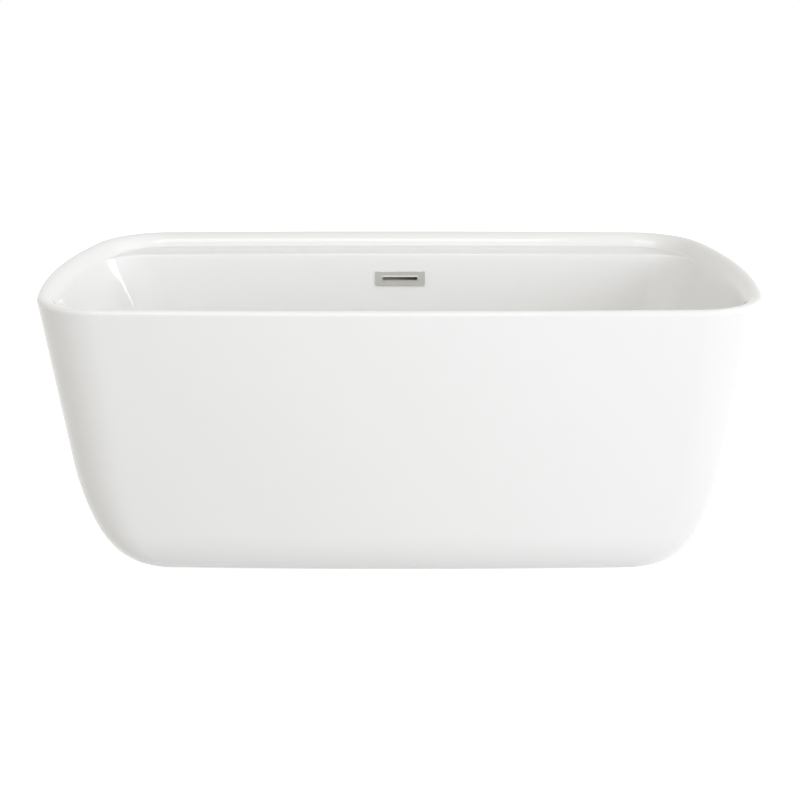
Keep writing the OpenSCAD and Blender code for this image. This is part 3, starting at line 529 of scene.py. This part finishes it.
def spread(size):
    """Rounding size of the ledge in every column: full where the ledge is wide, and dying
    away towards its tips, as size * tanh(width / (FADE * size))."""
    return size * np.tanh(ledge_width / (FADE * size))


def outwards(normal):
    """Unit vectors square to an outline, once round the tub."""
    return xyz(side_x * np.cos(normal), side_y * np.sin(normal), 0)


foot, brow = spread(LEDGE_FOOT), spread(LEDGE_EDGE)
edge_turns = np.radians(np.linspace(0, 90, EDGE_ROWS + 1))[1:]
edge_rows = [outer_ring(edge_z, EDGE_R * (1 - np.cos(a)), edge_z + EDGE_R * np.sin(a))
             for a in edge_turns]
roll_depths = np.linspace(0, 1, ROLL_ROWS + 1)[1:, None] ** 2 * (ROLL_DROP - foot)
ledge_back = foot_of_roll - foot[:, None] * outwards(on_rim)
ledge_front = top_of_well + brow[:, None] * outwards(in_well)
over_ledge = np.linspace(0, 1, LEDGE_ROWS + 1)[1:, None, None]
wall_z = steps(ledge_z - brow, floor_top + COVE, WALL_ROWS)
cove_turns = np.radians(np.linspace(0, 90, COVE_ROWS + 1))
cove_z = floor_top + COVE * (1 - np.sin(cove_turns))[1:, None]

face_rows = [
    outer_ring(np.linspace(lip_z, edge_z, LIP_ROWS)[:, None]),
    *edge_rows,
    roll_ring(roll_depths),
    rounded(roll_ring(roll_depths[-1:]), foot_of_roll, ledge_back, FOOT_ROWS),
    ledge_back + over_ledge * (ledge_front - ledge_back),
    rounded(ledge_front, top_of_well, well_ring(ledge_z - brow), BROW_ROWS),
    well_ring(wall_z),
    well_ring(cove_z),
]
print(sum(len(rows) for rows in face_rows), "rows down the face")

# %% [markdown]
# The floor runs in rings from the cove's foot to the round waste hole. Each point heads for
# the place on the hole that lies in the same direction, so the rings turn from the tub's
# outline into a circle on the way. The hidden side repeats the path from there outwards with
# fewer rows, since nobody looks at it closely.

# %% Floor rings
HOLE_R, FLOOR_ROWS = 24 * MM, 15


def middle(low_high):
    """Centre of a box, seen from above."""
    return [(low_high[0].x + low_high[1].x) / 2, (low_high[0].y + low_high[1].y) / 2]


def floor_rings(outline, z, shares):
    """Rings between an outline and the waste hole: share 0 is the outline, 1 the hole's edge
    at the same bearing from the waste."""
    away = outline[..., :2] - waste
    hole = waste + HOLE_R * away / np.linalg.norm(away, axis=-1, keepdims=True)
    flat_xy = outline[..., :2] + shares * (hole - outline[..., :2])
    return xyz(flat_xy[..., 0], flat_xy[..., 1], z)


flange_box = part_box("drain_flange")
waste = np.array(middle(flange_box))
cove_foot = well_ring(floor_top)
inwards = np.linspace(0, 1, FLOOR_ROWS + 1)[1:, None, None]
face_rows.append(floor_rings(cove_foot, floor_top, inwards))
hidden_start = sum(len(rows) for rows in face_rows)
print("waste at", np.round(waste, 4))

# %% Hidden side and basin
hidden_cove = np.radians([82, 70, 57, 43, 28, 14])
hidden_roll = [0.8, 0.5, 0.25, 0.08]  # shares of the roll's drop
hidden_edge = np.radians([90, 60, 30, 0])
hidden_rows = [
    floor_rings(cove_foot, floor_top - SHEET, inwards[::-5]),
    *[well_ring(floor_top + COVE * (1 - np.sin(a)), SHEET * np.cos(a), -SHEET * np.sin(a))
      for a in hidden_cove],
    well_ring(steps(floor_top + COVE, ledge_z - LEDGE_EDGE, 3), SHEET),
    well_ring(ledge_z, SHEET + np.where(at_back, LEDGE_EDGE, 0), -SHEET),
    roll_ring(ROLL_DROP, SHEET, -SHEET),
    *[roll_ring(s * ROLL_DROP, SHEET * np.sin(pi / 2 * np.sqrt(s)),
                -SHEET * np.cos(pi / 2 * np.sqrt(s))) for s in hidden_roll],
    *[outer_ring(edge_z, EDGE_R * (1 - np.cos(a)) + SHEET * np.cos(a),
                 edge_z + (EDGE_R - SHEET) * np.sin(a)) for a in hidden_edge],
    outer_ring(lip_z, SHEET),
]
basin = make_piece("basin_shell", [np.concatenate(face_rows + hidden_rows)], "tub",
                   "sanitary_acrylic", ["basin"], back_starts=hidden_start)

# %% [markdown]
# ## The skirt
# The outer shell is bonded under the basin's lip and sanded flush, so no seam shows: its top
# edge meets the lip here. At the bottom it curls under and ends in a flange that carries the
# brackets. Rows are spaced by the angle of the curl, which makes its roundness even.

# %% Skirt
CURL_ROWS, UPRIGHT_ROWS = 37, 10
curl_angles = np.radians(np.linspace(90, 0, CURL_ROWS))[:, None]
skirt_z = np.concatenate([END_TUCK_TOP - (END_TUCK_TOP - skirt_low) * np.sin(curl_angles),
                          steps(END_TUCK_TOP, lip_z, UPRIGHT_ROWS)])
# Inside, every third row will do, down to a little above the flange
inner_z = skirt_z[skirt_z[:, 0] > skirt_low + 1.3 * SHEET][::-3]
flange_sizes = outer(skirt_low, FLANGE_IN)
skirt_rows = [
    outer_ring(skirt_z),
    outer_ring(lip_z, SHEET),
    outer_ring(inner_z[1:], SHEET),
    outer_ring(skirt_low + SHEET, SHEET),
    ring(skirt_low + SHEET, *flange_sizes, bow, on_rim),
    ring(skirt_low, *flange_sizes, bow, on_rim),
]
make_piece("skirt_shell", [np.concatenate(skirt_rows)], "tub", "sanitary_acrylic", ["skirt"],
           back_starts=len(skirt_z) + 1)

# %% [markdown]
# ## The overflow
# High on the back wall a slot lets the water out before it reaches the rim. A shallow cover of
# satin nickel hides the opening in the wall. It is worked out in the wall's own frame, across
# it, up it and out of it, and then leaned back with the wall. The opening itself is cut with
# a Boolean, because a hole through a curved skin needs no more than that.

# %% The wall's frame and rounded outlines
OVERFLOW_DROP = 89 * MM
overflow_z = rim_top - OVERFLOW_DROP
overflow_y = float(well_front(overflow_z)) - LEDGE
print("overflow at", np.round([waste[0], overflow_y, overflow_z], 4))


def on_wall(across, up, out):
    """Points across the wall, up it and out of it, turned by the wall's lean and moved to the
    overflow."""
    lean = radians(SIDE_LEAN)
    return xyz(waste[0] + across, overflow_y + up * np.sin(lean) - out * np.cos(lean),
               overflow_z + up * np.cos(lean) + out * np.sin(lean))


def rounded_outline(width, height, corner, count=8):
    """Points of a rectangle with round corners: each corner's centre plus its radius turned
    through a quarter, all four corners in turn, with `count` points to a corner."""
    turn = np.concatenate([np.linspace(k, k + 1, count) for k in range(4)]) * pi / 2
    side = np.repeat([(1, 1), (-1, 1), (-1, -1), (1, -1)], count, axis=0)
    return (side[:, 0] * (width / 2 - corner) + corner * np.cos(turn),
            side[:, 1] * (height / 2 - corner) + corner * np.sin(turn))


def plate_rows(rows):
    """A grid on the wall from (width, height, corner, out) rows."""
    return np.stack([on_wall(*rounded_outline(*row[:3]), row[3]) for row in rows])


# %% Opening in the wall
THROAT_W, THROAT_H, THROAT_CORNER, THROAT_DEEP = 102 * MM, 21 * MM, 3 * MM, 15 * MM
throat = solid_mesh("throat", [plate_rows([
    (POINT, POINT, 0, -THROAT_DEEP), (THROAT_W, THROAT_H, THROAT_CORNER, -THROAT_DEEP),
    (THROAT_W, THROAT_H, THROAT_CORNER, THROAT_DEEP), (POINT, POINT, 0, THROAT_DEEP)])])
cutter = new_object("throat", throat)
cut = basin.modifiers.new("throat", "BOOLEAN")
cut.operation, cut.solver, cut.object = "DIFFERENCE", "EXACT", cutter
bpy.context.view_layer.update()
opened = bpy.data.meshes.new_from_object(
    basin.evaluated_get(bpy.context.evaluated_depsgraph_get()))
basin.modifiers.clear()
basin.data = opened
bpy.data.objects.remove(cutter)
print("basin after the cut:", len(opened.polygons), "faces")

# %% [markdown]
# ### Satin nickel
# The cover and the waste are brass, nickel plated and brushed. Brushing leaves fine parallel
# scratches that smear a reflection across them. Real scratches are hundredths of a
# millimetre apart; here they are drawn half a millimetre wide and many times as long, as
# coarse as they need to be to show at all. What is turned on a lathe has rings instead.

# %% Nickel
tree, shader, place = new_finish("brushed_nickel", "brushed nickel",
                                 Base_Color=srgb("#D6D6D1"), Metallic=1.0, Roughness=0.34)
scratches = speckle(tree, place, 0.5 * MM, detail=3, stretch=(0.02, 1, 1))
roughen(tree, shader, scratches, 0.28, 0.4)
relief(tree, shader, scratches, 0.015 * MM)

tree, shader, place = new_finish("plated_brass", "spun nickel",
                                 Base_Color=srgb("#D4D3CE"), Metallic=1.0, Roughness=0.3)
centred = add_node(tree, "ShaderNodeMapping",
                   {"Vector": place, "Location": (-waste[0], -waste[1], 0)})
flat_place = add_node(tree, "ShaderNodeVectorMath", {0: centred.outputs[0], 1: (1, 1, 0)},
                      operation="MULTIPLY")
from_axis = add_node(tree, "ShaderNodeVectorMath", {0: flat_place.outputs[0]},
                     operation="LENGTH").outputs["Value"]
grooves = add_node(tree, "ShaderNodeTexNoise", {"W": from_axis, "Scale": 1 / (0.6 * MM),
                   "Detail": 3.0}, noise_dimensions="1D").outputs["Fac"]
roughen(tree, shader, grooves, 0.24, 0.36)
relief(tree, shader, grooves, 0.02 * MM)
print("finishes:", *finish_of)

# %% [markdown]
# ### The cover
# A pressed plate with a bevelled edge. Round its slot stands a low lip with a wide flank, which
# catches the light from above as a bright line over the dark slot.

# %% Overflow cover
PLATE_W, PLATE_H, PLATE_OUT = 119 * MM, 35 * MM, 5.5 * MM
PLATE_CORNER, PLATE_WALL, WALL_GAP = 2.4 * MM, 1.2 * MM, 0.6 * MM
LEAST_CORNER = 0.2 * MM
SLOT_W, SLOT_H, SLOT_CORNER = 83 * MM, 7 * MM, 1 * MM
BEVEL, LIP_W, LIP_H, LIP_EDGE = 0.9 * MM, 3.2 * MM, 0.9 * MM, 0.3 * MM
lip_top = WALL_GAP + PLATE_OUT
face = lip_top - LIP_H


def inset_plate(inset, out):
    """Row of the cover's outline moved in by `inset`."""
    corner = max(PLATE_CORNER - inset, LEAST_CORNER)
    return PLATE_W - 2 * inset, PLATE_H - 2 * inset, corner, out


def slot_row(grow, out):
    """Row of the slot's outline moved out by `grow` all round."""
    return SLOT_W + 2 * grow, SLOT_H + 2 * grow, SLOT_CORNER + grow, out


quarter_turn = np.linspace(0, pi / 2, 6)
make_piece("overflow_cover", [plate_rows([
    inset_plate(0, WALL_GAP),
    *[inset_plate(BEVEL * (1 - np.cos(a)), face - BEVEL + BEVEL * np.sin(a))
      for a in quarter_turn],
    inset_plate(1.6 * BEVEL, face),
    slot_row(1.3 * LIP_W, face),
    slot_row(LIP_W, face),
    slot_row(2 * LIP_EDGE, lip_top - 0.1 * LIP_EDGE),
    slot_row(LIP_EDGE, lip_top),
    slot_row(0, lip_top - LIP_EDGE),
    slot_row(0, face - PLATE_WALL),
    inset_plate(PLATE_WALL, face - PLATE_WALL),
    inset_plate(PLATE_WALL, WALL_GAP),
])], "tub", "brushed_nickel", ["overflow_plate"])

# %% [markdown]
# ## The waste
# A click-clack waste has a wide cap that springs up at a push. Cap and flange are turned on a
# lathe, so each is a profile swept round the waste's axis: radius and height down one side,
# and the sweep does the rest. The cap rides on the stopper, which lifts by a few millimetres.

# %% Turned pieces
def turned(profile, centre, sides=72):
    """A profile of (radius, height) rows swept round a vertical axis at `centre`."""
    profile = np.array(profile, float)
    around_axis = np.linspace(0, 2 * pi, sides, endpoint=False)
    radius, height = profile[:, :1], profile[:, 1:]
    return xyz(centre[0] + radius * np.cos(around_axis),
               centre[1] + radius * np.sin(around_axis), height)


def arc(centre, radius, start, end, count=6):
    """(radius, height) rows along an arc of a profile, angles in degrees from outwards."""
    a = np.radians(np.linspace(start, end, count))
    return np.stack([centre[0] + radius * np.cos(a), centre[1] + radius * np.sin(a)], -1).tolist()


cap_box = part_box("stopper_cap")
cap_r, cap_low, cap_top = (cap_box[1].x - cap_box[0].x) / 2, cap_box[0].z, cap_box[1].z
DOME, CAP_EDGE, CAP_FOOT = 1 * MM, 1.8 * MM, 0.6 * MM
STEM_HOLE, HOLE_DEEP = 3.2 * MM, 2 * MM
dome_r = np.linspace(0, cap_r - CAP_EDGE, 14)
dome = np.stack([dome_r, cap_top - DOME * (dome_r / dome_r[-1]) ** 2], -1).tolist()
edge_mid = cap_top - DOME - CAP_EDGE
make_piece("waste_cap", [turned([
    (POINT, cap_low + HOLE_DEEP), (STEM_HOLE, cap_low + HOLE_DEEP), (STEM_HOLE, cap_low),
    *arc((cap_r - CAP_FOOT, cap_low + CAP_FOOT), CAP_FOOT, -90, 0, 4),
    *arc((cap_r - CAP_EDGE, edge_mid), CAP_EDGE, 0, 90, 8),
    *dome[-2::-1],
], waste)], "stopper", "plated_brass", ["stopper_cap"])

# %% Flange, barrel and cross
flange_top, barrel_low = flange_box[1].z, flange_box[0].z
FLANGE_R, FLANGE_T, BARREL_R, BORE_R = 35 * MM, 2.6 * MM, 22 * MM, 19 * MM
FLANGE_RIM, FLANGE_ROUND, MOUTH_ROUND = 0.4 * MM, 2.2 * MM, 1.2 * MM
HUB_R, HUB_BORE, CROSS_H = 8 * MM, 5.2 * MM, 5 * MM
ARM, ARM_CORNER, HUB_BITE, BARREL_BITE = 3 * MM, 0.5 * MM, 1 * MM, 0.5 * MM
CROSS_UP = 8 * MM  # of the cross above the barrel's lower end
flange_low = flange_top - FLANGE_T
cross_low = barrel_low + CROSS_UP
ring_rows = turned([
    (BORE_R, barrel_low), (BARREL_R, barrel_low), (BARREL_R, flange_low),
    (FLANGE_R, flange_low), (FLANGE_R, flange_low + FLANGE_RIM),
    *arc((FLANGE_R - FLANGE_ROUND, flange_low + FLANGE_RIM), FLANGE_ROUND, 0, 90, 7),
    *arc((BORE_R + MOUTH_ROUND, flange_top - MOUTH_ROUND), MOUTH_ROUND, 90, 180, 5),
], waste)
hub_rows = turned([(HUB_BORE, cross_low), (HUB_R, cross_low),
                   (HUB_R, cross_low + CROSS_H), (HUB_BORE, cross_low + CROSS_H)], waste, 32)


def arm_rows(angle):
    """A bar from the hub to the barrel: a rounded outline carried along the arm, which ends in
    a point at each end and bites into both a little."""
    side, up = rounded_outline(ARM, CROSS_H, ARM_CORNER, 4)
    along = np.array([HUB_R - HUB_BITE] * 2 + [BORE_R + BARREL_BITE] * 2)[:, None]
    full = np.array([POINT, 1, 1, POINT])[:, None]
    across = side * full
    return xyz(waste[0] + along * np.cos(angle) - across * np.sin(angle),
               waste[1] + along * np.sin(angle) + across * np.cos(angle),
               cross_low + CROSS_H / 2 + up * full)


arms = [arm_rows(radians(a)) for a in (45, 135, 225, 315)]
make_piece("waste_flange", [ring_rows, hub_rows, *arms], "tub", "plated_brass",
           ["drain_flange"])

# %% [markdown]
# ### Plastics and rubber
# Moulded fittings are ABS, with a soft sheen from a finely sparked mould. The hose is
# polyethylene, waxier. The pads under the feet are nylon and the seals are rubber: both are
# dull and dark, the rubber more so.

# %% Plastics and rubber
tree, shader, place = new_finish("fitting_plastic", "moulded ABS",
                                 Base_Color=srgb("#E3E1DA"), Roughness=0.38, IOR=1.54)
spark = speckle(tree, place, 0.8 * MM)
roughen(tree, shader, spark, 0.33, 0.45)
relief(tree, shader, spark, 0.02 * MM)

tree, shader, place = new_finish("hose_plastic", "extruded polyethylene",
                                 Base_Color=srgb("#8D9092"), Roughness=0.42, IOR=1.51)
smear = speckle(tree, place, 12 * MM, stretch=(1, 1, 0.2))
tint(tree, shader, smear, "#85888A", "#95989A")
roughen(tree, shader, smear, 0.36, 0.48)

tree, shader, place = new_finish("pad_plastic", "moulded nylon",
                                 Base_Color=srgb("#1F1F20"), Roughness=0.5, IOR=1.53)
grain = speckle(tree, place, 0.7 * MM)
roughen(tree, shader, grain, 0.42, 0.6)
relief(tree, shader, grain, 0.04 * MM)

tree, shader, place = new_finish("seal_rubber", "moulded rubber",
                                 Base_Color=srgb("#191919"), Roughness=0.72, IOR=1.52)
dust = speckle(tree, place, 4 * MM, detail=4)
tint(tree, shader, between(tree, dust, 0, 1), "#151515", "#242322")
print("finishes:", *finish_of)

# %% [markdown]
# ## The overflow hose
# The hose is a corrugated pipe with plain cuffs for the clamps. Its skin is a tube carried
# along a path of two straight runs and a bend, and its outer radius rises and falls along the
# way. Clamps hold it at both ends, so it doesn't hang but stays behind the well.

# %% Hose
hose_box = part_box("overflow_hose")
hose_r = (hose_box[1].x - hose_box[0].x) / 2
HOSE_WALL, BEND_R, CUFF = 2 * MM, 110 * MM, 34 * MM
RIB, RIB_STEP, RIB_RINGS = 1.1 * MM, 6 * MM, 6
FIRST_RIBS = 0.1  # share of a cuff over which the ribs grow to their height
HOSE_SIDES, INSIDE_RINGS = 32, 40
run_y, run_z = hose_box[1].y - hose_r, hose_box[0].z + hose_r
straight_down = hose_box[1].z - run_z - BEND_R
bend_length = BEND_R * pi / 2
straight_on = run_y - BEND_R - hose_box[0].y
hose_length = straight_down + bend_length + straight_on


def along_hose(walked):
    """y, z and heading of the hose's middle after a walk: down, round the bend, and on."""
    turn = np.clip((walked - straight_down) / BEND_R, 0, pi / 2)
    past = np.maximum(walked - straight_down - bend_length, 0)
    y = run_y - BEND_R * (1 - np.cos(turn)) - past
    z = hose_box[1].z - np.minimum(walked, straight_down) - BEND_R * np.sin(turn)
    return y, z, turn


def hose_rows(walked, radius):
    """Rings square to the hose's path: across in x, and out against the bend's centre."""
    y, z, turn = along_hose(walked[:, None])
    a = np.linspace(0, 2 * pi, HOSE_SIDES, endpoint=False)
    side, out = radius[:, None] * np.cos(a), radius[:, None] * np.sin(a)
    return xyz(waste[0] + side, y + out * np.cos(turn), z - out * np.sin(turn))


walked = np.linspace(0, hose_length, int(hose_length / (RIB_STEP / RIB_RINGS)))
past_cuff = np.minimum(walked, hose_length - walked) / CUFF - 1
ribbed = np.clip(past_cuff, 0, FIRST_RIBS) / FIRST_RIBS
outside = hose_r - RIB * ribbed * (0.5 + 0.5 * np.cos(2 * pi * walked / RIB_STEP))
walked_back = np.linspace(hose_length, 0, INSIDE_RINGS)
bore = np.full(INSIDE_RINGS, hose_r - HOSE_WALL)
hose_grid = np.concatenate([hose_rows(walked, outside), hose_rows(walked_back, bore)])
print(f"the hose is {hose_length:.3f} m long")
make_piece("ribbed_hose", [hose_grid], "tub", "hose_plastic", ["overflow_hose"])

# %% [markdown]
# ### Steel and board
# The frame is square tube dipped in zinc, which freezes into a mosaic of dull crystals a
# centimetre across. Studs and screws are plated bright instead. The board is chipboard: flat
# chips of wood a few millimetres wide, pressed with resin.

# %% Steel and board
tree, shader, place = new_finish("galvanised_steel", "galvanised steel",
                                 Base_Color=srgb("#A9ADB0"), Metallic=1.0, Roughness=0.45)
crystals = add_node(tree, "ShaderNodeTexVoronoi", {"Vector": place, "Scale": 1 / (9 * MM)})
crystal = add_node(tree, "ShaderNodeSeparateColor", {"Color": crystals.outputs["Color"]})
tint(tree, shader, crystal.outputs["Red"], "#9DA1A4", "#BCC0C2")
roughen(tree, shader, crystal.outputs["Green"], 0.36, 0.56, 0, 1)

tree, shader, place = new_finish("zinc_plated_steel", "bright zinc plate",
                                 Base_Color=srgb("#C9CBCD"), Metallic=1.0, Roughness=0.28)
cloud = speckle(tree, place, 5 * MM)
roughen(tree, shader, cloud, 0.22, 0.36)

tree, shader, place = new_finish("board", "chipboard",
                                 Base_Color=srgb("#C6A878"), Roughness=0.7, IOR=1.5)
chips = add_node(tree, "ShaderNodeTexVoronoi", {"Vector": add_node(
    tree, "ShaderNodeMapping", {"Vector": place, "Scale": (1, 1.6, 2.5)}).outputs["Vector"],
    "Scale": 1 / (4 * MM), "Randomness": 1.0})
chip = add_node(tree, "ShaderNodeSeparateColor", {"Color": chips.outputs["Color"]})
tint(tree, shader, chip.outputs["Red"], "#AE8F60", "#D6BC8E")
relief(tree, shader, chip.outputs["Blue"], 0.15 * MM)
print("finishes:", *finish_of)

# %% [markdown]
# ## Feet
# Each foot is an M12 stud in a nylon pad. The thread is one formula: the radius falls and
# rises once for every pitch of height, and the phase turns once round the stud, which makes
# the ridge a helix without any sweep. A nut is the smaller of a hexagon and a cone.

# %% Studs
STUD_R, PITCH, THREAD_DEPTH, STUD_END = 6 * MM, 1.75 * MM, 1.0 * MM, 1 * MM
THREAD_RINGS = 6  # to a pitch
SPIGOT_R, SPIGOT_EDGE = 7.8 * MM, 0.5 * MM
HEX_R, HEX_H, HEX_CHAMFER = 8.8 * MM, 6 * MM, 0.7 * MM
CORNERS_OFF = 0.93  # share of a hexagon's corner radius that its chamfered ends keep
SIDES = 24
bearing = np.linspace(0, 2 * pi, SIDES, endpoint=False)


def hexagon(corner_r):
    """Radius of a hexagon at each bearing: its inner radius over the cosine of the angle from
    the middle of the nearest flat."""
    return corner_r * np.cos(pi / 6) / np.cos((bearing % (pi / 3)) - pi / 6)


def thread_radius(height):
    """Radius of a V thread: a triangle wave of height over pitch, less the share of a turn."""
    phase = (height[:, None] / PITCH - bearing / (2 * pi)) % 1
    return STUD_R - THREAD_DEPTH * (1 - np.abs(2 * phase - 1))


def shaped(rows, centre):
    """A grid from (height, radius) rows, where a radius may differ with the bearing."""
    height = np.array([row[0] for row in rows])[:, None]
    radius = np.stack([np.broadcast_to(row[1], (SIDES,)) for row in rows])
    return xyz(centre[0] + radius * np.cos(bearing), centre[1] + radius * np.sin(bearing),
               height)


def hex_rows(low, high, corner_r, chamfer):
    """(height, radius) rows of a hexagon whose ends are chamfered by a cone: the smaller of
    the two at each bearing."""
    ends = np.minimum(hexagon(corner_r), corner_r * CORNERS_OFF)
    return [(low, ends), (low + chamfer, hexagon(corner_r)), (high - chamfer, hexagon(corner_r)),
            (high, ends)]


# %% Pads and feet
PAD_H, PAD_R, PAD_PLAY = 13 * MM, 24 * MM, 0.2 * MM
MOUTH, LIP_OUT, SHOULDER = 0.5 * MM, 1.8 * MM, 1.2 * MM  # round the spigot's socket
BRIM, BRIM_DROP, FOOT_EDGE = 2 * MM, 3 * MM, 1 * MM
PAD_SIDES = 48
foot_places = [middle(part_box(f"foot_pad_{number}")) for number in range(1, 7)]
socket_r, pad_top = SPIGOT_R + PAD_PLAY, PAD_H - PAD_PLAY
pad_profile = [
    (POINT, PAD_H / 2), (socket_r, PAD_H / 2), (socket_r, pad_top - MOUTH),
    (socket_r + MOUTH, pad_top),
    *arc((socket_r + LIP_OUT, pad_top - SHOULDER), SHOULDER, 90, 35, 4),
    *arc((PAD_R - BRIM, PAD_H / 2 - BRIM_DROP), BRIM, 60, 0, 5),
    *arc((PAD_R - FOOT_EDGE, FOOT_EDGE), FOOT_EDGE, 0, -90, 4), (POINT, 0)]
for number, at in enumerate(foot_places, 1):
    low, top = (corner.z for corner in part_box(f"foot_stud_{number}"))
    thread_z = np.arange(PAD_H + HEX_H, top - STUD_END, PITCH / THREAD_RINGS)
    end_radius = np.minimum(thread_radius(thread_z[-1:])[0], STUD_R - STUD_END)
    rows = [(low, POINT), (low, SPIGOT_R - SPIGOT_EDGE), (low + SPIGOT_EDGE, SPIGOT_R),
            (PAD_H, SPIGOT_R), *hex_rows(PAD_H, PAD_H + HEX_H, HEX_R, HEX_CHAMFER),
            *zip(thread_z, thread_radius(thread_z)), (top, end_radius), (top, POINT)]
    make_piece(f"levelling_stud_{number}", [shaped(rows, at)], f"foot_{number}",
               "zinc_plated_steel", [f"foot_stud_{number}"])
    make_piece(f"nylon_pad_{number}", [turned(pad_profile, at, PAD_SIDES)[::-1]],
               f"foot_{number}", "pad_plastic", [f"foot_pad_{number}"])

# %% Nuts
NUT_R, NUT_CHAMFER, BORE_PLAY = 10.8 * MM, 0.8 * MM, 0.1 * MM


def nut_grid(low, high, at):
    """A nut: a chamfered hexagon with a bore through it."""
    bore = STUD_R + BORE_PLAY
    return shaped([(low, bore), *hex_rows(low, high, NUT_R, NUT_CHAMFER), (high, bore)], at)


for node, name, slot in [("jam_nuts", "lock_nuts", "zinc_plated_steel"),
                         ("weld_nuts", "welded_nuts", "galvanised_steel")]:
    low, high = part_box(node)
    make_piece(name, [nut_grid(low.z, high.z, at) for at in foot_places], "tub", slot, [node])

# %% [markdown]
# ## Frame
# Square tube has round corners, where the strip was bent before it was welded shut. The long
# rails are open at their ends, and the rails across are closed.

# %% Rails
RAIL_CORNER, RAIL_WALL, RAIL_CORNER_POINTS = 4 * MM, 2 * MM, 6


def rail_grid(low, high, open_ends):
    """A rounded square carried along the longer side of a box, x or y. Where its ends are
    open it comes back along its bore, and otherwise it starts and ends in a point."""
    size, centre = np.array(high - low), np.array(high + low) / 2
    along_y = size[1] > size[0]
    half = max(size[0], size[1]) / 2
    if open_ends:
        plan = [(0, -half), (0, half), (RAIL_WALL, half), (RAIL_WALL, -half)]
    else:
        plan = [(size[2] / 2, -half), (0, -half), (0, half), (size[2] / 2, half)]
    grid = []
    for inset, way in plan:
        wide = max(size[2] - 2 * inset, 2 * POINT)
        corner = min(max(RAIL_CORNER - inset, 0), wide / 2)
        a, b = rounded_outline(wide, wide, corner, RAIL_CORNER_POINTS)
        grid.append((xyz(-a, way, b) if along_y else xyz(way, a, b)) + centre)
    return np.stack(grid)


for node in ["frame_rail_front", "frame_rail_back", "cross_rail_left", "cross_rail_right",
             "mid_rail_left", "mid_rail_right"]:
    make_piece(node.replace("rail", "tube"), [rail_grid(*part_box(node), "frame" in node)],
               "tub", "galvanised_steel", [node])

# %% [markdown]
# ## The remaining nodes
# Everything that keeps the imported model's own shape gets its finish by the record's slot.

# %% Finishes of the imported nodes
for part in frame["record"]["subparts"]:
    for holder in nodes[part["node"]].material_slots:
        holder.material = finish_of[part["material_slot"]]

# %% [markdown]
# ## Studio
# A plain pale floor and soft light. The floor and the world are white to the camera, to gloss
# and to glass, so the tub stands on a white ground and the nickel has something to mirror,
# while the tub itself is lit at a plain level. The floor still catches the tub's shadow.
# Two boxes show in the gloss. The window, high behind the right-hand end, draws the crisp
# streak down the well's corner. The overhead box, in front and above, draws the bright line
# on the lip of the overflow cover. The third box, in front and to the right, lights the tub's
# face and is left out of the gloss, so it adds no second streak.

# %% Floor and world
FLOOR_REACH = 30.0
FLOOR_GLOW, FILL_LIGHT = 0.8, 0.5


def by_ray(tree, falling, seen):
    """Shader `falling` for light that falls, and `seen` for a ray from the camera, from gloss
    or through glass."""
    path = add_node(tree, "ShaderNodeLightPath").outputs
    pair = add_node(tree, "ShaderNodeMath", {0: path["Is Camera Ray"],
                    1: path["Is Glossy Ray"]}, operation="MAXIMUM")
    either = add_node(tree, "ShaderNodeMath", {0: pair.outputs[0],
                      1: path["Is Transmission Ray"]}, operation="MAXIMUM")
    return add_node(tree, "ShaderNodeMixShader", {0: either.outputs[0],
                    1: falling.outputs[0], 2: seen.outputs[0]}).outputs[0]


floor_data = bpy.data.meshes.new("studio_floor")
floor_data.from_pydata([(x * FLOOR_REACH, y * FLOOR_REACH, 0) for x, y in
                        [(-1, -1), (1, -1), (1, 1), (-1, 1)]], [], [(0, 1, 2, 3)])
studio_floor = new_object("studio_floor", floor_data)

floor_paint = bpy.data.materials.new("pale studio floor")
tree = cleared(floor_paint)
matt = add_node(tree, "ShaderNodeBsdfDiffuse", {"Color": srgb("#D8D8D8")})
glow = add_node(tree, "ShaderNodeEmission", {"Color": srgb("#FFFFFF"), "Strength": FLOOR_GLOW})
lit = add_node(tree, "ShaderNodeAddShader", {0: matt.outputs[0], 1: glow.outputs[0]})
add_node(tree, "ShaderNodeOutputMaterial", {"Surface": by_ray(tree, matt, lit)})
floor_data.materials.append(floor_paint)

world = bpy.data.worlds.new("studio")
bpy.context.scene.world = world
tree = cleared(world)
fill = add_node(tree, "ShaderNodeBackground", {"Color": srgb("#FFFAF0"), "Strength": FILL_LIGHT})
white = add_node(tree, "ShaderNodeBackground", {"Color": srgb("#FFFFFF"), "Strength": 1.0})
add_node(tree, "ShaderNodeOutputWorld", {"Surface": by_ray(tree, fill, white)})

# %% Lamps
WELL_MIDDLE, FACE_MIDDLE, LEDGE_MIDDLE = (0, 0, 0.45), (0, 0, 0.35), (0, 0.1, 0.45)


def soft_box(name, place_of_box, aim, width, height, watts, mirrored=True):
    """A rectangular area lamp that faces `aim`. Gloss and metal show its image only where it
    is `mirrored`."""
    data = bpy.data.lights.new(name, "AREA")
    data.shape = "RECTANGLE"
    data.size, data.size_y, data.energy = width, height, watts
    data.color = srgb("#F4F8FF")[:3]
    lamp = new_object(name, data)
    lamp.location = place_of_box
    towards = Vector(aim) - Vector(place_of_box)
    lamp.rotation_euler = towards.to_track_quat("-Z", "Y").to_euler()
    lamp.visible_glossy = mirrored


soft_box("window", (4.4, 1.9, 1.95), WELL_MIDDLE, 2.4, 1.4, 60)
soft_box("front_right", (3.3, -3.7, 1.6), FACE_MIDDLE, 2.4, 1.8, 98, mirrored=False)
soft_box("overhead", (-0.5, -1.9, 3.2), LEDGE_MIDDLE, 2.6, 1.5, 36)
bpy.context.scene.view_settings.view_transform = "Standard"
